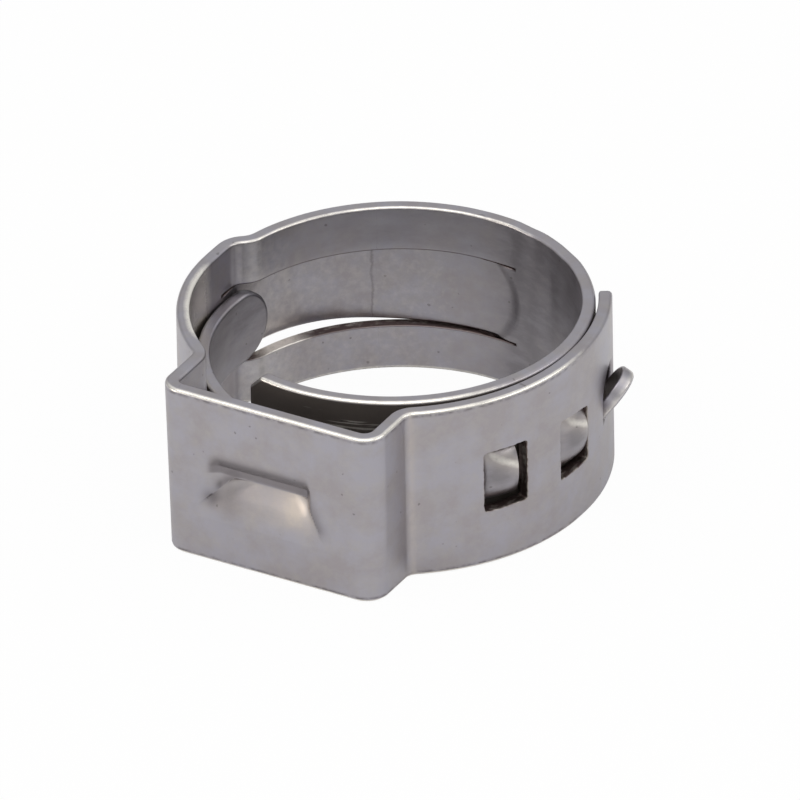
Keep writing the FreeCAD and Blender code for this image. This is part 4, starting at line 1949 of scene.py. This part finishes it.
@dataclass(frozen=True)
class WhiteTable:
    """Plain white floor that shows white to the eye and to the steel, and keeps the shadow."""

    colour: tuple = (0.86, 0.86, 0.86, 1.0)
    seen_glow: float = 0.96
    mirrored_glow: float = 0.15

    def material(self) -> bpy.types.Material:
        """Build the floor's finish.

        Returns:
            The material, which glows more for the eye than for the steel.
        """
        shader = Shader("white_table")
        paint = shader.node("ShaderNodeBsdfDiffuse", {}, {"Color": self.colour})
        glow = shader.node("ShaderNodeEmission", {}, {"Color": WHITE, "Strength": 1.0})
        share = shader.ray("Camera") * self.seen_glow + shader.ray("Glossy") * self.mirrored_glow
        surface = shader.node("ShaderNodeMixShader", {}, {0: share, 1: paint, 2: glow})
        return shader.finish(surface)


@dataclass(frozen=True)
class SoftBox:
    """Rectangular soft light that faces the clamp."""

    name: str
    azimuth: float
    elevation: float
    distance: float
    size: tuple[float, float]
    power: float
    colour: tuple[float, float, float] = (1.0, 1.0, 1.0)

    def build(self, target: Vector) -> None:
        """Hang the light and turn it to the clamp.

        Args:
            target: the point that it faces.
        """
        back = towards(self.azimuth, self.elevation)
        lamp = bpy.data.lights.new(self.name, "AREA")
        lamp.shape = "RECTANGLE"
        lamp.size, lamp.size_y = self.size
        lamp.energy = self.power
        lamp.color = self.colour
        holder = placed(self.name, lamp)
        holder.location = target + back * self.distance
        holder.rotation_euler = (-back).to_track_quat("-Z", "Y").to_euler()


@dataclass
class Studio:
    """White table, soft lights and the camera at the photograph's angle."""

    azimuth: float = 30.07
    elevation: float = 30.6
    roll: float = 1.02
    distance: float = 1500.0
    pixels_per_mm: float = 20.916
    picture: float = 800.0
    aim_pixel: tuple[float, float] = (396.8, 381.63)
    aim_height: float = 4.5
    sensor: float = 36.0
    clip: tuple[float, float] = (0.05, 10.0)
    table_half: float = 2.0
    horizon_level: float = 0.24
    zenith_level: float = 0.94
    mirrored_share: float = 0.2
    lights: tuple = (
        SoftBox("top_box", 10.0, 58.0, 0.32, (0.44, 0.20), 0.34, (1.0, 0.96, 0.90)),
        SoftBox("front_box", -42.0, 6.0, 0.36, (0.22, 0.12), 0.09, (1.0, 0.97, 0.92)),
        SoftBox("left_box", -46.0, 10.0, 0.34, (0.10, 0.07), 0.06, (1.0, 0.86, 0.76)),
        SoftBox("right_box", 108.0, 33.0, 0.36, (0.30, 0.10), 0.14, (1.0, 0.97, 0.92)),
    )

    def build(self) -> None:
        """Build the floor, the world, the lights and the camera."""
        self._floor()
        self._world()
        target = Vector((0, 0, self.aim_height * MM))
        for light in self.lights:
            light.build(target)
        self._camera(target)
        bpy.context.scene.view_settings.view_transform = "Standard"

    def _floor(self) -> None:
        """Table under the clamp."""
        half = self.table_half
        mesh = bpy.data.meshes.new("table")
        corners = [(-half, -half, 0), (half, -half, 0), (half, half, 0), (-half, half, 0)]
        mesh.from_pydata(corners, [], [(0, 1, 2, 3)])
        mesh.materials.append(WhiteTable().material())
        table = placed("table", mesh)

    def _world(self) -> None:
        """Surroundings that the camera sees white, and that light the clamp mostly from above."""
        world = bpy.data.worlds.new("white_room")
        world.use_nodes = True
        room = NodeMaker(world.node_tree)
        place = room.node("ShaderNodeTexCoord", {}, {}, "Generated")
        rise = room.node("ShaderNodeSeparateXYZ", {}, {"Vector": place}, "Z").between(0.0, 1.0)
        given = rise * (self.zenith_level - self.horizon_level) + self.horizon_level
        light, backdrop = (
            room.node("ShaderNodeBackground", {}, {"Color": WHITE, "Strength": strength})
            for strength in (given, 1.0)
        )
        share = room.ray("Camera") + room.ray("Glossy") * self.mirrored_share
        surface = room.node("ShaderNodeMixShader", {}, {0: share, 1: light, 2: backdrop})
        room.output("ShaderNodeOutputWorld", surface)
        bpy.context.scene.world = world

    def _camera(self, target: Vector) -> None:
        """Long lens at the photograph's angle, moved so that the aim falls on its pixel.

        Args:
            target: the point that it aims at.
        """
        turn = math.radians(self.azimuth)
        back = towards(self.azimuth, self.elevation)
        level = Vector((math.cos(turn), math.sin(turn), 0))
        upright = back.cross(level)
        lean = math.radians(self.roll)
        up = upright * math.cos(lean) + level * math.sin(lean)
        right = up.cross(back)
        off_right = (self.picture / 2 - self.aim_pixel[0]) / self.pixels_per_mm
        off_up = (self.aim_pixel[1] - self.picture / 2) / self.pixels_per_mm
        camera = bpy.data.cameras.new("camera")
        camera.sensor_width = self.sensor
        camera.lens = self.sensor * self.pixels_per_mm * self.distance / self.picture
        camera.clip_start, camera.clip_end = self.clip
        holder = placed("camera", camera)
        place = target + (back * self.distance + right * off_right + up * off_up) * MM
        turned = Matrix((right, up, back)).transposed().to_4x4()
        holder.matrix_world = Matrix.Translation(place) @ turned
        bpy.context.scene.camera = holder


def main() -> None:
    """Build the clamp and its studio."""
    logging.basicConfig(level=logging.INFO)
    band = ClampBand()
    strip = band.build()
    strip.data.materials.append(TumbledSteel().material())
    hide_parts(NODE)
    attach(strip, BODY)
    LOG.info("strip: %d points, %d faces", len(strip.data.vertices), len(strip.data.polygons))
    studio = Studio()
    studio.build()
    LOG.info("studio: %d lights", len(studio.lights))


if __name__ == "__main__":
    main()
